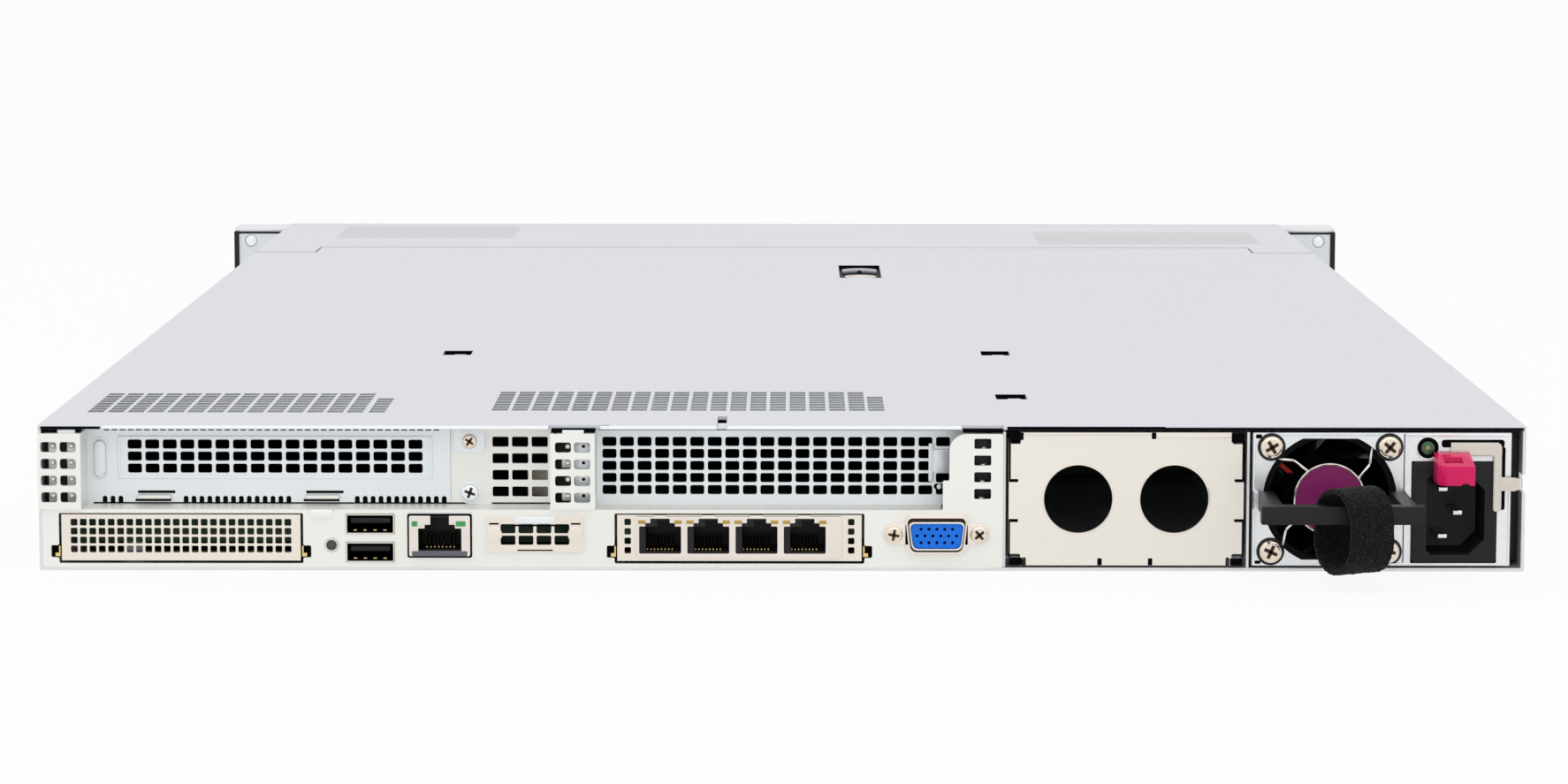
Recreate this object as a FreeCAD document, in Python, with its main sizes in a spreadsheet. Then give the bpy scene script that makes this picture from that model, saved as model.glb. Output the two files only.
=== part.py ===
"""One-unit rack server as a parametric assembly.

The rear faces -Y, the front faces +Y and Z points up. The origin is the middle of the chassis floor's
underside. Across the rear, the places chain from the left wall to the right wall, so the width of the chassis
is the sum of what stands side by side in it. Along the depth, places are measured from the rear or the front.
"""
import FreeCAD, Part
import Sketcher
import os
import re

doc = FreeCAD.newDocument("rack_server")
sheet = doc.addObject("Spreadsheet::Sheet", "Sizes")

SIZES = {
    # Sheet metal and fits
    "side_steel": 1.0, "floor_steel": 1.0, "cover_steel": 1.2, "panel_steel": 1.0, "plate_steel": 0.8,
    "play": 0.3, "slip": 0.1,
    # Whole chassis
    "height": 42.8, "depth": 707.0,
    # Lower rear band, from the left wall to the power-supply bays
    "expansion_gap": 5.8, "expansion_width": 71.5, "uid_gap": 8.3, "usb_gap": 4.2, "usb_width": 14.2,
    "jack_gap": 4.1, "jack_width": 18.3, "serial_gap": 4.5, "serial_width": 28.5, "network_gap": 9.0,
    "network_width": 73.1, "video_gap": 5.5, "video_flange": 31.2, "tongue_edge": 3.8,
    "usb_bottom": 2.5, "usb_height": 5.9, "usb_spacing": 2.4, "usb_headroom": 1.3,
    # Upper rear zone
    "recess": 12.0, "left_slot_width": 119.8, "middle_plate_width": 29.6, "bracket_width": 12.6,
    "middle_box_width": 13.1, "bracket_clear": 1.2, "bracket_lip": 5.0,
    "bracket_hole_wide": 4.7, "bracket_hole_high": 3.0, "bracket_pitch_wide": 5.6, "bracket_pitch_high": 4.93,
    "plate_hole_wide": 4.8, "plate_pitch_wide": 5.77, "bracket_edge": 0.8,
    "slot_hole_wide": 4.15, "slot_hole_high": 2.76, "slot_pitch_wide": 5.17, "slot_pitch_high": 3.58,
    "slot_left_inset": 24.4, "slot_left_margin": 8.1, "slot_left_lift": 8.0, "slot_grid_drop": 3.1,
    "bead_inset": 14.6, "bead_wide": 3.6, "bead_foot": 7.8, "bead_drop": 4.3, "bead_out": 0.9,
    "frame_edge": 2.7, "frame_foot": 0.6, "frame_rim": 0.9, "frame_out": 0.45,
    "slot_right_inset": 14.4, "slot_right_margin": 14.5, "slot_right_lift": 2.7, "slot_fold": 6.0,
    "tongue_width": 17.6, "tongue_step": 1.9, "tongue_step_high": 8.6, "tongue_round": 5.0,
    "tongue_hole_wide": 4.95, "tongue_hole_edge": 3.5,
    "tab_width": 9.3, "tab_drop": 7.8, "tab_inset": 0.8,
    # Pieces in the lower band
    "band_opening_foot": 2.1, "module_clear": 0.8, "module_deep": 14.0,
    "expansion_hole": 2.0, "expansion_pitch_wide": 2.72, "expansion_pitch_high": 2.64, "expansion_rim": 2.1,
    "clip_wide": 2.3, "clip_high": 3.6, "clip_lift": 3.8, "clip_steel": 0.5,
    "uid_radius": 2.0, "uid_height": 7.5, "uid_long": 3.5, "usb_shell": 0.7, "usb_deep": 13.0,
    "usb_tongue": 1.8, "jack_bottom": 4.1, "jack_height": 12.3, "jack_cavity_wide": 12.3,
    "jack_cavity_high": 8.2, "jack_sill": 1.9, "jack_notch_wide": 5.3, "jack_notch_high": 1.4,
    "jack_deep": 13.0,
    "serial_bottom": 5.5, "serial_height": 10.6, "serial_hole_wide": 4.35, "serial_hole_high": 2.75,
    "serial_pitch_wide": 5.25, "serial_pitch_high": 3.4, "serial_rim": 3.8, "serial_foot": 1.9,
    "network_edge": 5.7, "network_pitch": 14.1, "network_cavity_wide": 12.2, "network_cavity_high": 7.4,
    "network_notch_high": 1.9, "network_sill": 1.9, "network_rise": 0.9, "network_hole": 1.9,
    "network_hole_pitch": 2.79, "network_stand": 0.7,
    "video_bottom": 4.9, "video_height": 11.8, "video_body_wide": 18.6,
    "video_screw_spacing": 25.0, "video_screw_radius": 2.6,
    "video_shell_wide": 16.6, "video_shell_high": 8.3, "video_shell_out": 4.0, "video_steel": 0.6,
    "video_pin_pitch": 2.3, "video_pin_radius": 0.5, "video_row_pitch": 2.0, "video_slope": 1.1,
    "screw_radius": 2.65, "screw_head": 1.6, "small_screw_radius": 2.1, "screw_lift": 3.4,
    "stud_radius": 3.2, "stud_long": 2.6, "stud_height": 21.4, "stud_from_end": 90.0,
    "stud_front": 135.0, "lens_collar": 0.4,
    # Power-supply bays
    "bay_wall": 0.8, "blank_bay_width": 70.4, "psu_bay_width": 79.6, "catch_gap": 3.3, "bay_floor_gap": 0.7,
    "bay_wall_end": 190.0, "blank_clear": 0.9, "blank_deep": 14.0, "finger_hole_radius": 10.0,
    "finger_hole_spacing": 28.1, "blank_notch": 3.4, "blank_slit": 1.2, "blank_slit_deep": 2.4,
    "blank_slit_spacing": 12.0,
    "psu_length": 185.0, "psu_steel": 0.8, "psu_fan_inset": 22.6, "psu_fan_size": 39.6, "psu_fan_long": 28.0,
    "fan_rim": 0.2, "fan_wall": 0.8, "psu_hub_radius": 10.7, "psu_hub_thick": 3.4, "strut_wide": 2.4,
    "shaft_radius": 1.5, "shaft_long": 22.0, "blade_gap": 0.7, "blade_thick": 1.2, "blade_tilt": 38.0,
    "blade_share": 0.86, "strut_turn": 38.0,
    "fan_screw_wide": 34.4, "fan_screw_high": 31.4, "fan_screw_radius": 3.3, "fan_screw_hole": 1.6,
    "fan_screw_head": 0.9,
    "inlet_margin": 4.0, "inlet_width": 25.0, "inlet_height": 29.9, "inlet_deep": 26.0, "cavity_wide": 16.9,
    "cavity_high": 23.6, "cavity_deep": 17.0, "cavity_lift": 2.4, "cavity_right": 3.6, "cavity_chamfer": 4.0,
    "pin_wide": 2.0, "pin_high": 4.0, "pin_spread": 14.0, "pin_side": 5.3, "earth_side": 9.7, "pin_out": 13.0,
    "light_radius": 3.1, "light_left": 4.6, "light_drop": 4.4, "light_long": 4.0,
    "latch_strip": 1.0, "strip_left": 17.8, "strip_right": 2.9, "strip_high": 4.0, "strip_drop": 2.7,
    "strip_arm_wide": 2.2, "strip_arm_end": 17.9, "catch_low": 24.0, "catch_high": 4.0, "catch_deep": 4.5,
    "catch_thick": 1.0, "catch_bite": 0.6, "notch_deep": 6.5, "notch_extra": 0.6,
    "tab_left": 24.0, "tab_long": 11.6, "tab_low": 27.2, "tab_tall": 9.2, "tab_out": 12.5, "tab_slope": 3.0,
    "tab_slot_wide": 6.0, "tab_slot_from": 3.0, "tab_slot_long": 3.6,
    "handle_arm": 4.4, "handle_thick": 5.2, "handle_reach": 29.0, "handle_lug": 1.2, "handle_pin": 1.2,
    "handle_height": 21.4, "handle_pin_long": 3.8, "handle_bar": 5.2, "handle_bar_over": 0.6,
    "strap_wide": 14.5, "strap_thick": 1.6, "strap_high": 25.0, "strap_deep": 20.0, "strap_side": 4.8,
    "strap_turn": 28.0,
    "board_thick": 1.6, "psu_board_lift": 6.0, "psu_board_start": 32.0, "psu_board_tail": 8.0,
    "psu_coil_high": 22.0, "psu_coil_long": 40.0, "psu_coil_wide": 26.0, "psu_coil_gap": 6.0,
    "socket_wide": 46.0, "socket_high": 9.0, "socket_wall": 4.0, "socket_gap": 3.0, "power_board_inset": 2.0,
    # Top cover
    "front_panel_long": 117.0, "cover_gap": 0.6, "cover_corner_wide": 25.0, "cover_corner_long": 24.0,
    "skirt_high": 6.0, "skirt_start": 40.0, "skirt_end": 40.0,
    "vent_hole_wide": 4.78, "vent_hole_long": 5.0, "vent_pitch_wide": 5.95, "vent_pitch_long": 6.07,
    "vent_left_inset": 8.9, "vent_left_wide": 84.4, "vent_left_start": 30.5, "vent_long": 48.0,
    "vent_right_inset": 10.2, "vent_right_wide": 112.6, "vent_right_start": 35.5,
    "cover_slot_wide": 9.4, "cover_slot_long": 13.0, "far_slot_start": 186.0, "near_slot_start": 65.0,
    "left_slot_back": 5.8, "edge_notch_wide": 2.7, "edge_notch_long": 23.0, "edge_notch_from": 49.0,
    "lip_notch_deep": 3.0, "lip_notch_wide": 17.6, "lip_notch_end": 12.0,
    "latch_from_front": 249.5, "latch_long": 53.4, "latch_wide": 16.2, "latch_from_right": 26.8,
    "pan_deep": 4.4, "pan_steel": 0.8, "lever_thick": 2.2, "lever_clear": 0.9, "lever_pivot": 2.4,
    "lever_pin": 0.7, "lever_rise": 0.5, "lock_radius": 4.2, "lock_inset": 9.0,
    # Inside
    "board_height": 6.0, "standoff": 6.0, "post_inset": 20.0, "board_edge": 4.0, "board_start": 16.0,
    "board_split": 200.3, "board_end": 205.0, "cpu_spacing": 200.0, "cpu_size": 58.0, "cpu_high": 2.2,
    "cpu_from_front": 331.0,
    "sink_wide": 80.0, "sink_long": 106.0, "sink_base": 3.0, "sink_high": 27.0, "fin_thick": 0.8,
    "fin_pitch": 4.4, "dimm_long": 133.0, "dimm_thick": 3.2, "dimm_high": 31.0, "dimm_pitch": 7.6,
    "dimm_first": 46.0, "baffle_thick": 0.8, "baffle_clear": 1.2, "baffle_over": 4.0,
    "riser_start": 40.0, "riser_long": 140.0, "riser_high": 30.0, "riser_slot_long": 90.0,
    "riser_slot_wide": 7.0, "riser_slot_high": 8.0,
    "fan_from_front": 195.0, "fan_long": 56.0, "fan_wide": 42.0, "fan_pitch": 84.0, "fan_headroom": 2.0,
    "fan_tray": 0.8, "fan_hub_radius": 9.0, "fan_hub_thick": 4.0,
    # Front
    "backplane_from_front": 134.0, "backplane_foot": 0.3, "backplane_head": 4.0, "backplane_edge": 12.0,
    "cage_left": 11.3, "bay_pitch": 75.6, "bay_rows_gap": 1.2, "bay_high": 18.2, "cage_steel": 0.8,
    "cage_from_front": 130.0, "cage_front": 10.0, "drive_clear": 0.4, "drive_end": 126.0, "bezel_thick": 4.0,
    "bezel_back": 8.0, "lip_thick": 1.6, "drive_pin": 1.0, "drive_pin_edge": 3.6, "drive_lever_thick": 2.4,
    "drive_lever_edge": 6.0, "blank_grip_deep": 30.0, "blank_slot_high": 1.6, "blank_slot_edge": 6.0,
    "media_gap": 1.6, "media_width": 76.0, "panel_gap": 1.6, "panel_deep": 9.0, "panel_wall": 1.4,
    "button_radius": 4.0, "button_long": 6.0, "button_height": 30.0, "button_edge": 9.0, "button_stand": 1.2,
    "button_guide": 5.4,
    "ear_width": 22.5, "ear_back": 20.0, "ear_steel": 2.0, "ear_flange": 48.0, "ear_foot": 1.0,
    "ear_hole_spacing": 465.1, "ear_hole_low": 5.5, "ear_hole_rise": 31.75, "ear_hole_radius": 2.6,
    "ear_latch_width": 22.6, "ear_latch_wall": 1.6, "ear_pin": 1.2, "ear_knuckle": 2.2, "ear_pin_edge": 2.6,
    "ear_pin_out": 3.0, "ear_lug": 1.5,
}

# Counts of what repeats
FAN_COUNT = 5
BLADE_COUNT = 7
BAY_COLUMNS = 4
MEMORY_PER_SIDE = 6
VIDEO_ROWS = 3
VIDEO_COLUMNS = 5

# Sides of many-sided pieces that stand for round ones
SMALL_SIDES = 16
HIDDEN_SIDES = 24

# Places that follow from the sizes, as formulas on them
PLACES = {
    "io_width": "expansion_gap + expansion_width + uid_gap + usb_gap + usb_width + jack_gap + jack_width"
                " + serial_gap + serial_width + network_gap + network_width + video_gap + video_flange"
                " + tongue_edge",
    "width": "io_width + 2 * bay_wall + blank_bay_width + psu_bay_width + side_steel",
    "left": "-width / 2",
    "right": "width / 2",
    "rear": "-depth / 2",
    "front": "depth / 2",
    "cover_under": "height - cover_steel",
    "wall_top": "cover_under - play",
    "inner_left": "left + side_steel",
    "inner_right": "right - side_steel",
    "expansion_left": "left + expansion_gap",
    "expansion_right": "expansion_left + expansion_width",
    "uid_x": "expansion_right + uid_gap",
    "usb_left": "uid_x + usb_gap",
    "usb_right": "usb_left + usb_width",
    "jack_left": "usb_right + jack_gap",
    "jack_right": "jack_left + jack_width",
    "serial_left": "jack_right + serial_gap",
    "serial_right": "serial_left + serial_width",
    "network_left": "serial_right + network_gap",
    "network_right": "network_left + network_width",
    "video_left": "network_right + video_gap",
    "video_right": "video_left + video_flange",
    "video_x": "(video_left + video_right) / 2",
    "video_z": "video_bottom + video_height / 2",
    "io_right": "video_right + tongue_edge",
    "io_top": "usb_bottom + 2 * usb_height + usb_spacing + usb_headroom",
    "band_opening_top": "io_top - panel_steel - slip",
    "left_slot_end": "left + left_slot_width",
    "middle_end": "left_slot_end + middle_plate_width",
    "tongue_left": "io_right - tongue_width",
    "plate_rear": "rear + recess",
    "upper_top": "cover_under - play",
    "bracket_top": "cover_under - bracket_clear",
    "bracket_foot": "io_top + slip",
    "blank_left": "io_right + bay_wall",
    "blank_right": "blank_left + blank_bay_width",
    "blank_x": "(blank_left + blank_right) / 2",
    "bay_low": "floor_steel + bay_floor_gap",
    "bay_high_z": "cover_under - bay_floor_gap",
    "bay_mid": "(bay_low + bay_high_z) / 2",
    "psu_left": "blank_right + bay_wall + blank_clear",
    "psu_right": "inner_right - catch_gap",
    "psu_front": "rear + psu_length",
    "psu_fan_x": "psu_left + psu_fan_inset",
    "psu_fan_low": "bay_low + psu_steel + slip",
    "psu_fan_top": "bay_high_z - psu_steel - slip",
    "psu_bore": "(psu_fan_top - psu_fan_low) / 2 - fan_wall",
    "inlet_right": "psu_right - inlet_margin",
    "inlet_left": "inlet_right - inlet_width",
    "inlet_low": "bay_low + psu_steel + slip",
    "inlet_top": "inlet_low + inlet_height",
    "cavity_east": "inlet_right - cavity_right",
    "cavity_west": "cavity_east - cavity_wide",
    "cavity_low": "inlet_low + cavity_lift",
    "strip_rear": "rear - play - latch_strip",
    "strip_top": "bay_high_z - strip_drop",
    "strip_east": "psu_right - strip_right",
    "strip_west": "psu_right - strip_left",
    "catch_east": "inner_right + catch_bite",
    "handle_left": "psu_left",
    "handle_right": "psu_left + 2 * psu_fan_inset + play",
    "handle_y": "rear - play - handle_thick / 2",
    "handle_bar_y": "handle_y - handle_reach",
    "cover_end": "front - front_panel_long",
    "latch_rear": "front - latch_from_front",
    "latch_left": "io_right - latch_from_right - latch_wide",
    "pan_floor": "cover_under - pan_deep + pan_steel",
    "lever_z": "height - lever_rise - lever_thick / 2",
    "lever_hinge_y": "latch_rear + latch_long - lever_clear - lever_pivot",
    "board_top": "board_height + board_thick",
    "cpu_y": "front - cpu_from_front",
    "cpu_top": "board_top + cpu_high",
    "fan_rear": "front - fan_from_front",
    "fan_low": "floor_steel + fan_tray",
    "fan_top": "cover_under - fan_headroom",
    "fan_z": "(fan_low + fan_top) / 2",
    "fan_bore": "(fan_top - fan_low) / 2 - fan_wall",
    "cage_x": "left + cage_left",
    "cage_floor": "floor_steel + cage_steel",
    "cage_top": "cage_floor + 2 * bay_high + bay_rows_gap",
    "cage_east": f"cage_x + {BAY_COLUMNS} * bay_pitch",
    "media_left": "cage_east + media_gap",
    "media_right": "media_left + media_width",
    "control_left": "media_right + panel_gap",
    "control_right": "inner_right - play",
    "button_x": "control_right - button_edge",
    "ear_rear": "front - ear_back - ear_steel",
    "ear_pin_y": "front - ear_back + ear_pin_out",
}

for row, (alias, size) in enumerate(SIZES.items(), start=1):
    sheet.set(f"A{row}", alias)
    sheet.set(f"B{row}", str(size))
    sheet.setAlias(f"B{row}", alias)
doc.recompute()

NODES = []
TURNED = {
    "x": FreeCAD.Rotation(FreeCAD.Vector(0, 1, 0), 90),
    "y": FreeCAD.Rotation(FreeCAD.Vector(1, 0, 0), -90),
    "z": FreeCAD.Rotation(),
}


def formula(text):
    """Write a size or place as an expression on the cells of the sheet."""
    def cell(match):
        word = match.group(0)
        if word in PLACES:
            return f"({formula(PLACES[word])})"
        return f"Sizes.{word}" if word in SIZES else word
    return re.sub(r"[a-z_]+", cell, str(text))


def number(text):
    """The present value of a formula."""
    return float(sheet.evalExpression(formula(text)))


def place(thing, x="0", y="0", z="0"):
    """Tie a thing's place to the sheet."""
    for axis, where in zip("xyz", (x, y, z)):
        thing.setExpression(f"Placement.Base.{axis}", formula(where))
    return thing


def box(name, x, y, z):
    """A block from one place to another along each axis."""
    block = doc.addObject("Part::Box", name)
    for size, (start, end) in zip(("Length", "Width", "Height"), (x, y, z)):
        block.setExpression(size, formula(f"({end}) - ({start})"))
    return place(block, x[0], y[0], z[0])


def upright(bar, across, axis, spans, radius):
    """Give a bar its radius and its place; its span along its axis is a pair of places."""
    start, end = spans[axis]
    bar.setExpression(across, formula(radius))
    bar.setExpression("Height", formula(f"({end}) - ({start})"))
    bar.Placement = FreeCAD.Placement(FreeCAD.Vector(), TURNED[axis])
    spans[axis] = start
    return place(bar, spans["x"], spans["y"], spans["z"])


def rod(name, axis, x, y, z, radius):
    """A round bar along one axis."""
    return upright(doc.addObject("Part::Cylinder", name), "Radius", axis, {"x": x, "y": y, "z": z}, radius)


def prism(name, axis, x, y, z, radius, sides):
    """A many-sided bar along one axis, for round pieces that are small or out of sight."""
    bar = doc.addObject("Part::Prism", name)
    bar.Polygon = sides
    return upright(bar, "Circumradius", axis, {"x": x, "y": y, "z": z}, radius)


def group(name, pieces):
    """Separate solids kept together."""
    held = doc.addObject("Part::Compound", name)
    held.Links = list(pieces)
    return held


def fuse(name, *pieces):
    joined = doc.addObject("Part::MultiFuse", name)
    joined.Shapes = list(pieces)
    joined.Refine = True
    return joined


def cut(name, base, *tools):
    """Take tools away from a base; tools that may meet each other are joined first."""
    remaining = doc.addObject("Part::Cut", name)
    remaining.Base = base
    remaining.Tool = tools[0] if len(tools) == 1 else fuse(name + "_tools", *tools)
    return remaining


def common(name, first, second):
    shared = doc.addObject("Part::Common", name)
    shared.Base = first
    shared.Tool = second
    return shared


def starts(span, hole, pitch):
    """Where each hole of a row begins: as many as fit in the span, centred in it."""
    room = f"({span[1]}) - ({span[0]}) - ({hole})"
    count = int(number(room) / number(pitch) + 1e-6) + 1
    margin = f"({room} - {count - 1} * ({pitch})) / 2"
    return [f"({span[0]}) + {margin} + {index} * ({pitch})" for index in range(count)]


def punched(name, plane, spans, holes, pitches, through):
    """A grid of square-cornered punches: crossed sets of strips, kept where they meet."""
    depth_axis = next(axis for axis in "xyz" if axis not in plane)
    sets = []
    for along, across in (plane, plane[::-1]):
        step = plane.index(along)
        strips = []
        for index, start in enumerate(starts(spans[step], holes[step], pitches[step])):
            span = {along: (start, f"{start} + {holes[step]}"), depth_axis: through}
            span[across] = spans[1 - step]
            strips.append(box(f"{name}_{along}{index}", span["x"], span["y"], span["z"]))
        sets.append(group(f"{name}_{along}_strips", strips))
    return common(name, *sets)


def node(name, thing):
    """Name a finished sub-part."""
    thing.Label = name
    NODES.append(thing)
    return thing


def shifted(places, offset):
    return tuple(f"{here} + ({offset})" for here in places)


REAR_SKIN = ("rear - slip", "rear + panel_steel + slip")
PLATE_SKIN = ("plate_rear - slip", "plate_rear + panel_steel + slip")


def chassis_tray():
    floor = box("tray_floor", ("left", "right"), ("rear", "front"), ("0", "floor_steel"))
    left_wall = box("tray_left", ("left", "inner_left"), ("rear", "front"), ("0", "wall_top"))
    right_wall = box("tray_right", ("inner_right", "right"), ("rear", "front"), ("0", "wall_top"))
    posts = []
    for index, x in enumerate(("inner_left + post_inset", "-cpu_spacing / 4", "cpu_spacing / 4",
                               "inner_right - post_inset - standoff")):
        y = "front - board_end - post_inset - standoff"
        posts.append(box(f"post_front_{index}", (x, f"{x} + standoff"), (y, f"{y} + standoff"),
                         ("floor_steel", "board_height")))
    for index, x in enumerate(("inner_left + post_inset", "io_right - post_inset - standoff")):
        y = "rear + board_start + post_inset / 2"
        posts.append(box(f"post_rear_{index}", (x, f"{x} + standoff"), (y, f"{y} + standoff"),
                         ("floor_steel", "board_height")))
    catch_notch = box("catch_notch", ("inner_right - slip", "right + slip"),
                      ("rear - slip", "rear + notch_deep"),
                      ("catch_low - notch_extra", "catch_low + catch_high + notch_extra"))
    body = fuse("tray_body", floor, left_wall, right_wall, *posts)
    node("chassis_tray", cut("chassis_tray", body, catch_notch))


def rear_io_panel():
    """The bent rear sheet: lower band, ledge, recessed middle plate and right tongue."""
    skin = ("rear", "rear + panel_steel")
    band = box("io_band", ("inner_left", "io_right"), skin, ("floor_steel", "io_top"))
    ledge = box("io_ledge", ("inner_left", "tongue_left"), ("rear", "plate_rear + panel_steel"),
                ("io_top - panel_steel", "io_top"))
    middle = box("io_middle", ("left_slot_end", "middle_end"), ("plate_rear", "plate_rear + panel_steel"),
                 ("io_top - panel_steel", "upper_top"))
    shoulder = "bracket_top - tongue_round"
    step_x = "tongue_left + tongue_step"
    tongue = [
        box("tongue_low", ("tongue_left", "io_right"), skin,
            ("io_top - panel_steel", "io_top + tongue_step_high")),
        box("tongue_mid", (step_x, "io_right"), skin, ("io_top", shoulder)),
        box("tongue_high", (f"{step_x} + tongue_round", "io_right"), skin, ("io_top", "bracket_top")),
        rod("tongue_corner", "y", f"{step_x} + tongue_round", skin, shoulder, "tongue_round"),
    ]
    module_z = ("band_opening_foot", "band_opening_top")
    clip_z = ("clip_lift", "clip_lift + clip_high")
    openings = [
        box("expansion_opening", ("expansion_left", "expansion_right"), REAR_SKIN, module_z),
        box("expansion_notches", ("expansion_left - clip_wide", "expansion_right + clip_wide"), REAR_SKIN,
            clip_z),
        box("network_opening", ("network_left", "network_right"), REAR_SKIN, module_z),
        box("network_notches", ("network_left - clip_wide", "network_right + clip_wide"), REAR_SKIN, clip_z),
        rod("uid_opening", "y", "uid_x", REAR_SKIN, "uid_height", "uid_radius + slip"),
        box("jack_opening", ("jack_left - slip", "jack_right + slip"), REAR_SKIN,
            ("jack_bottom - slip", "jack_bottom + jack_height + slip")),
        box("serial_opening", ("serial_left + serial_rim", "serial_right - serial_rim"), REAR_SKIN,
            ("serial_bottom + serial_foot", "serial_bottom + serial_height - serial_foot")),
        box("video_opening", ("video_x - video_shell_wide / 2", "video_x + video_shell_wide / 2"), REAR_SKIN,
            ("video_z - video_shell_high / 2", "video_z + video_shell_high / 2")),
    ]
    for index, foot in enumerate(("usb_bottom", "usb_bottom + usb_height + usb_spacing")):
        openings.append(box(f"usb_opening_{index}", ("usb_left - slip", "usb_right + slip"), REAR_SKIN,
                            (f"{foot} - slip", f"{foot} + usb_height + slip")))
    hole_x = ("io_right - tongue_hole_edge - tongue_hole_wide", "io_right - tongue_hole_edge")
    hole_z = ("io_top + slot_right_lift", "bracket_top - bracket_edge")
    for index, start in enumerate(starts(hole_z, "bracket_hole_high", "bracket_pitch_high")):
        openings.append(box(f"tongue_hole_{index}", hole_x, REAR_SKIN,
                            (start, f"{start} + bracket_hole_high")))
    plate_holes = punched(
        "middle_holes", "xz",
        (("middle_end - 2 * plate_pitch_wide - plate_hole_wide - 2 * bracket_edge",
          "middle_end - bracket_edge / 2"),
         ("io_top + slot_right_lift / 2", "bracket_top - 2 * bracket_edge")),
        ("plate_hole_wide", "bracket_hole_high"), ("plate_pitch_wide", "bracket_pitch_high"), PLATE_SKIN)
    sheet_metal = fuse("io_sheet", band, ledge, middle, *tongue)
    opened = cut("io_opened", sheet_metal, *openings)
    node("rear_io_panel", cut("rear_io_panel", opened, plate_holes))


def box_bracket(name, x, hole_x, returns, *extras):
    """A shallow perforated box that stands at the rear face beside a slot."""
    face_y = ("rear - panel_steel", "rear")
    high = ("bracket_foot", "bracket_top")
    pieces = [box(f"{name}_face", x, face_y, high),
              box(f"{name}_lip", (f"{x[0]} + 2 * panel_steel", f"{x[1]} - panel_steel"),
                  ("rear - panel_steel", "rear + bracket_lip"), ("bracket_top - panel_steel", "bracket_top"))]
    for index, side in enumerate(returns):
        pieces.append(box(f"{name}_return_{index}", side, ("rear - panel_steel", "plate_rear - slip"), high))
    holes = punched(f"{name}_holes", "xz",
                    (hole_x, ("bracket_foot + 2 * bracket_edge", "bracket_top - 2.5 * bracket_edge")),
                    ("bracket_hole_wide", "bracket_hole_high"), ("bracket_pitch_wide", "bracket_pitch_high"),
                    ("rear - panel_steel - slip", "rear + slip"))
    node(name, cut(name, fuse(f"{name}_sheet", *pieces, *extras), holes))


def riser_tab():
    """Strip of the middle bracket in front of the middle plate, and the tab that takes the upper screw."""
    x = ("left_slot_end + tab_inset", "left_slot_end + tab_inset + tab_width")
    skin = ("plate_rear - plate_steel", "plate_rear - slip")
    tab = box("riser_tab_leaf", x, skin, ("upper_top - tab_drop", "upper_top"))
    shelf = box("riser_tab_shelf", (x[0], "middle_end + play + panel_steel"), skin,
                ("bracket_top - panel_steel", "upper_top"))
    return tab, shelf


def riser_brackets():
    left_end = "left + bracket_width"
    box_bracket("riser_bracket_left", ("left", left_end),
                ("left + bracket_edge / 2", f"{left_end} - bracket_edge"),
                [(f"{left_end} - panel_steel", left_end)])
    middle_start = "middle_end + play"
    middle_stop = f"{middle_start} + middle_box_width"
    box_bracket("riser_bracket_middle", (middle_start, middle_stop),
                (f"{middle_start} + bracket_edge", f"{middle_stop} - bracket_edge"),
                [(middle_start, f"{middle_start} + panel_steel"),
                 (f"{middle_stop} - panel_steel", middle_stop)],
                *riser_tab())


def slot_embossing(x, z):
    """Upright bead beside the left grille and the raised frame round it."""
    bead_x = ("left + bead_inset", "left + bead_inset + bead_wide")
    bead_y = ("plate_rear - bead_out", "plate_rear")
    low = "io_top + bead_foot + bead_wide / 2"
    high = "upper_top - bead_drop - bead_wide / 2"
    middle = "left + bead_inset + bead_wide / 2"
    bead = [box("bead_body", bead_x, bead_y, (low, high)),
            rod("bead_low_end", "y", middle, bead_y, low, "bead_wide / 2"),
            rod("bead_high_end", "y", middle, bead_y, high, "bead_wide / 2")]
    frame_y = ("plate_rear - frame_out", "plate_rear")
    outer = [shifted(x[:1], "-frame_edge") + shifted(x[1:], "frame_edge"),
             shifted(z[:1], "-frame_foot") + z[1:]]
    inner = [shifted(span[:1], "frame_rim") + shifted(span[1:], "-frame_rim") for span in outer]
    rim = cut("frame_rim_ring", box("frame_outer", outer[0], frame_y, outer[1]),
              box("frame_inner", inner[0], shifted(frame_y[:1], "-slip") + frame_y[1:], inner[1]))
    return [*bead, rim]


def slot_cover(name, x, grid_x, lift, embossed=False):
    """A perforated cover of a card slot, with a fold along its top."""
    skin = ("plate_rear", "plate_rear + plate_steel")
    sheet_metal = box(f"{name}_sheet", x, skin, ("io_top", "upper_top"))
    fold = box(f"{name}_fold", x, ("plate_rear", "plate_rear + slot_fold"),
               ("upper_top - plate_steel", "upper_top"))
    grid_z = (f"io_top + {lift}", "upper_top - slot_grid_drop")
    raised = slot_embossing(grid_x, grid_z) if embossed else []
    holes = punched(f"{name}_holes", "xz", (grid_x, grid_z),
                    ("slot_hole_wide", "slot_hole_high"), ("slot_pitch_wide", "slot_pitch_high"),
                    ("plate_rear - slip", "plate_rear + plate_steel + slip"))
    node(name, cut(name, fuse(f"{name}_bent", sheet_metal, fold, *raised), holes))


def slot_covers():
    slot_cover("slot_cover_left", ("inner_left + play", "left_slot_end - slip"),
               ("left + slot_left_inset", "left_slot_end - slot_left_margin"), "slot_left_lift",
               embossed=True)
    slot_cover("slot_cover_right", ("middle_end + slip", "io_right - slip"),
               ("middle_end + slot_right_inset", "io_right - slot_right_margin"), "slot_right_lift")


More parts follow.
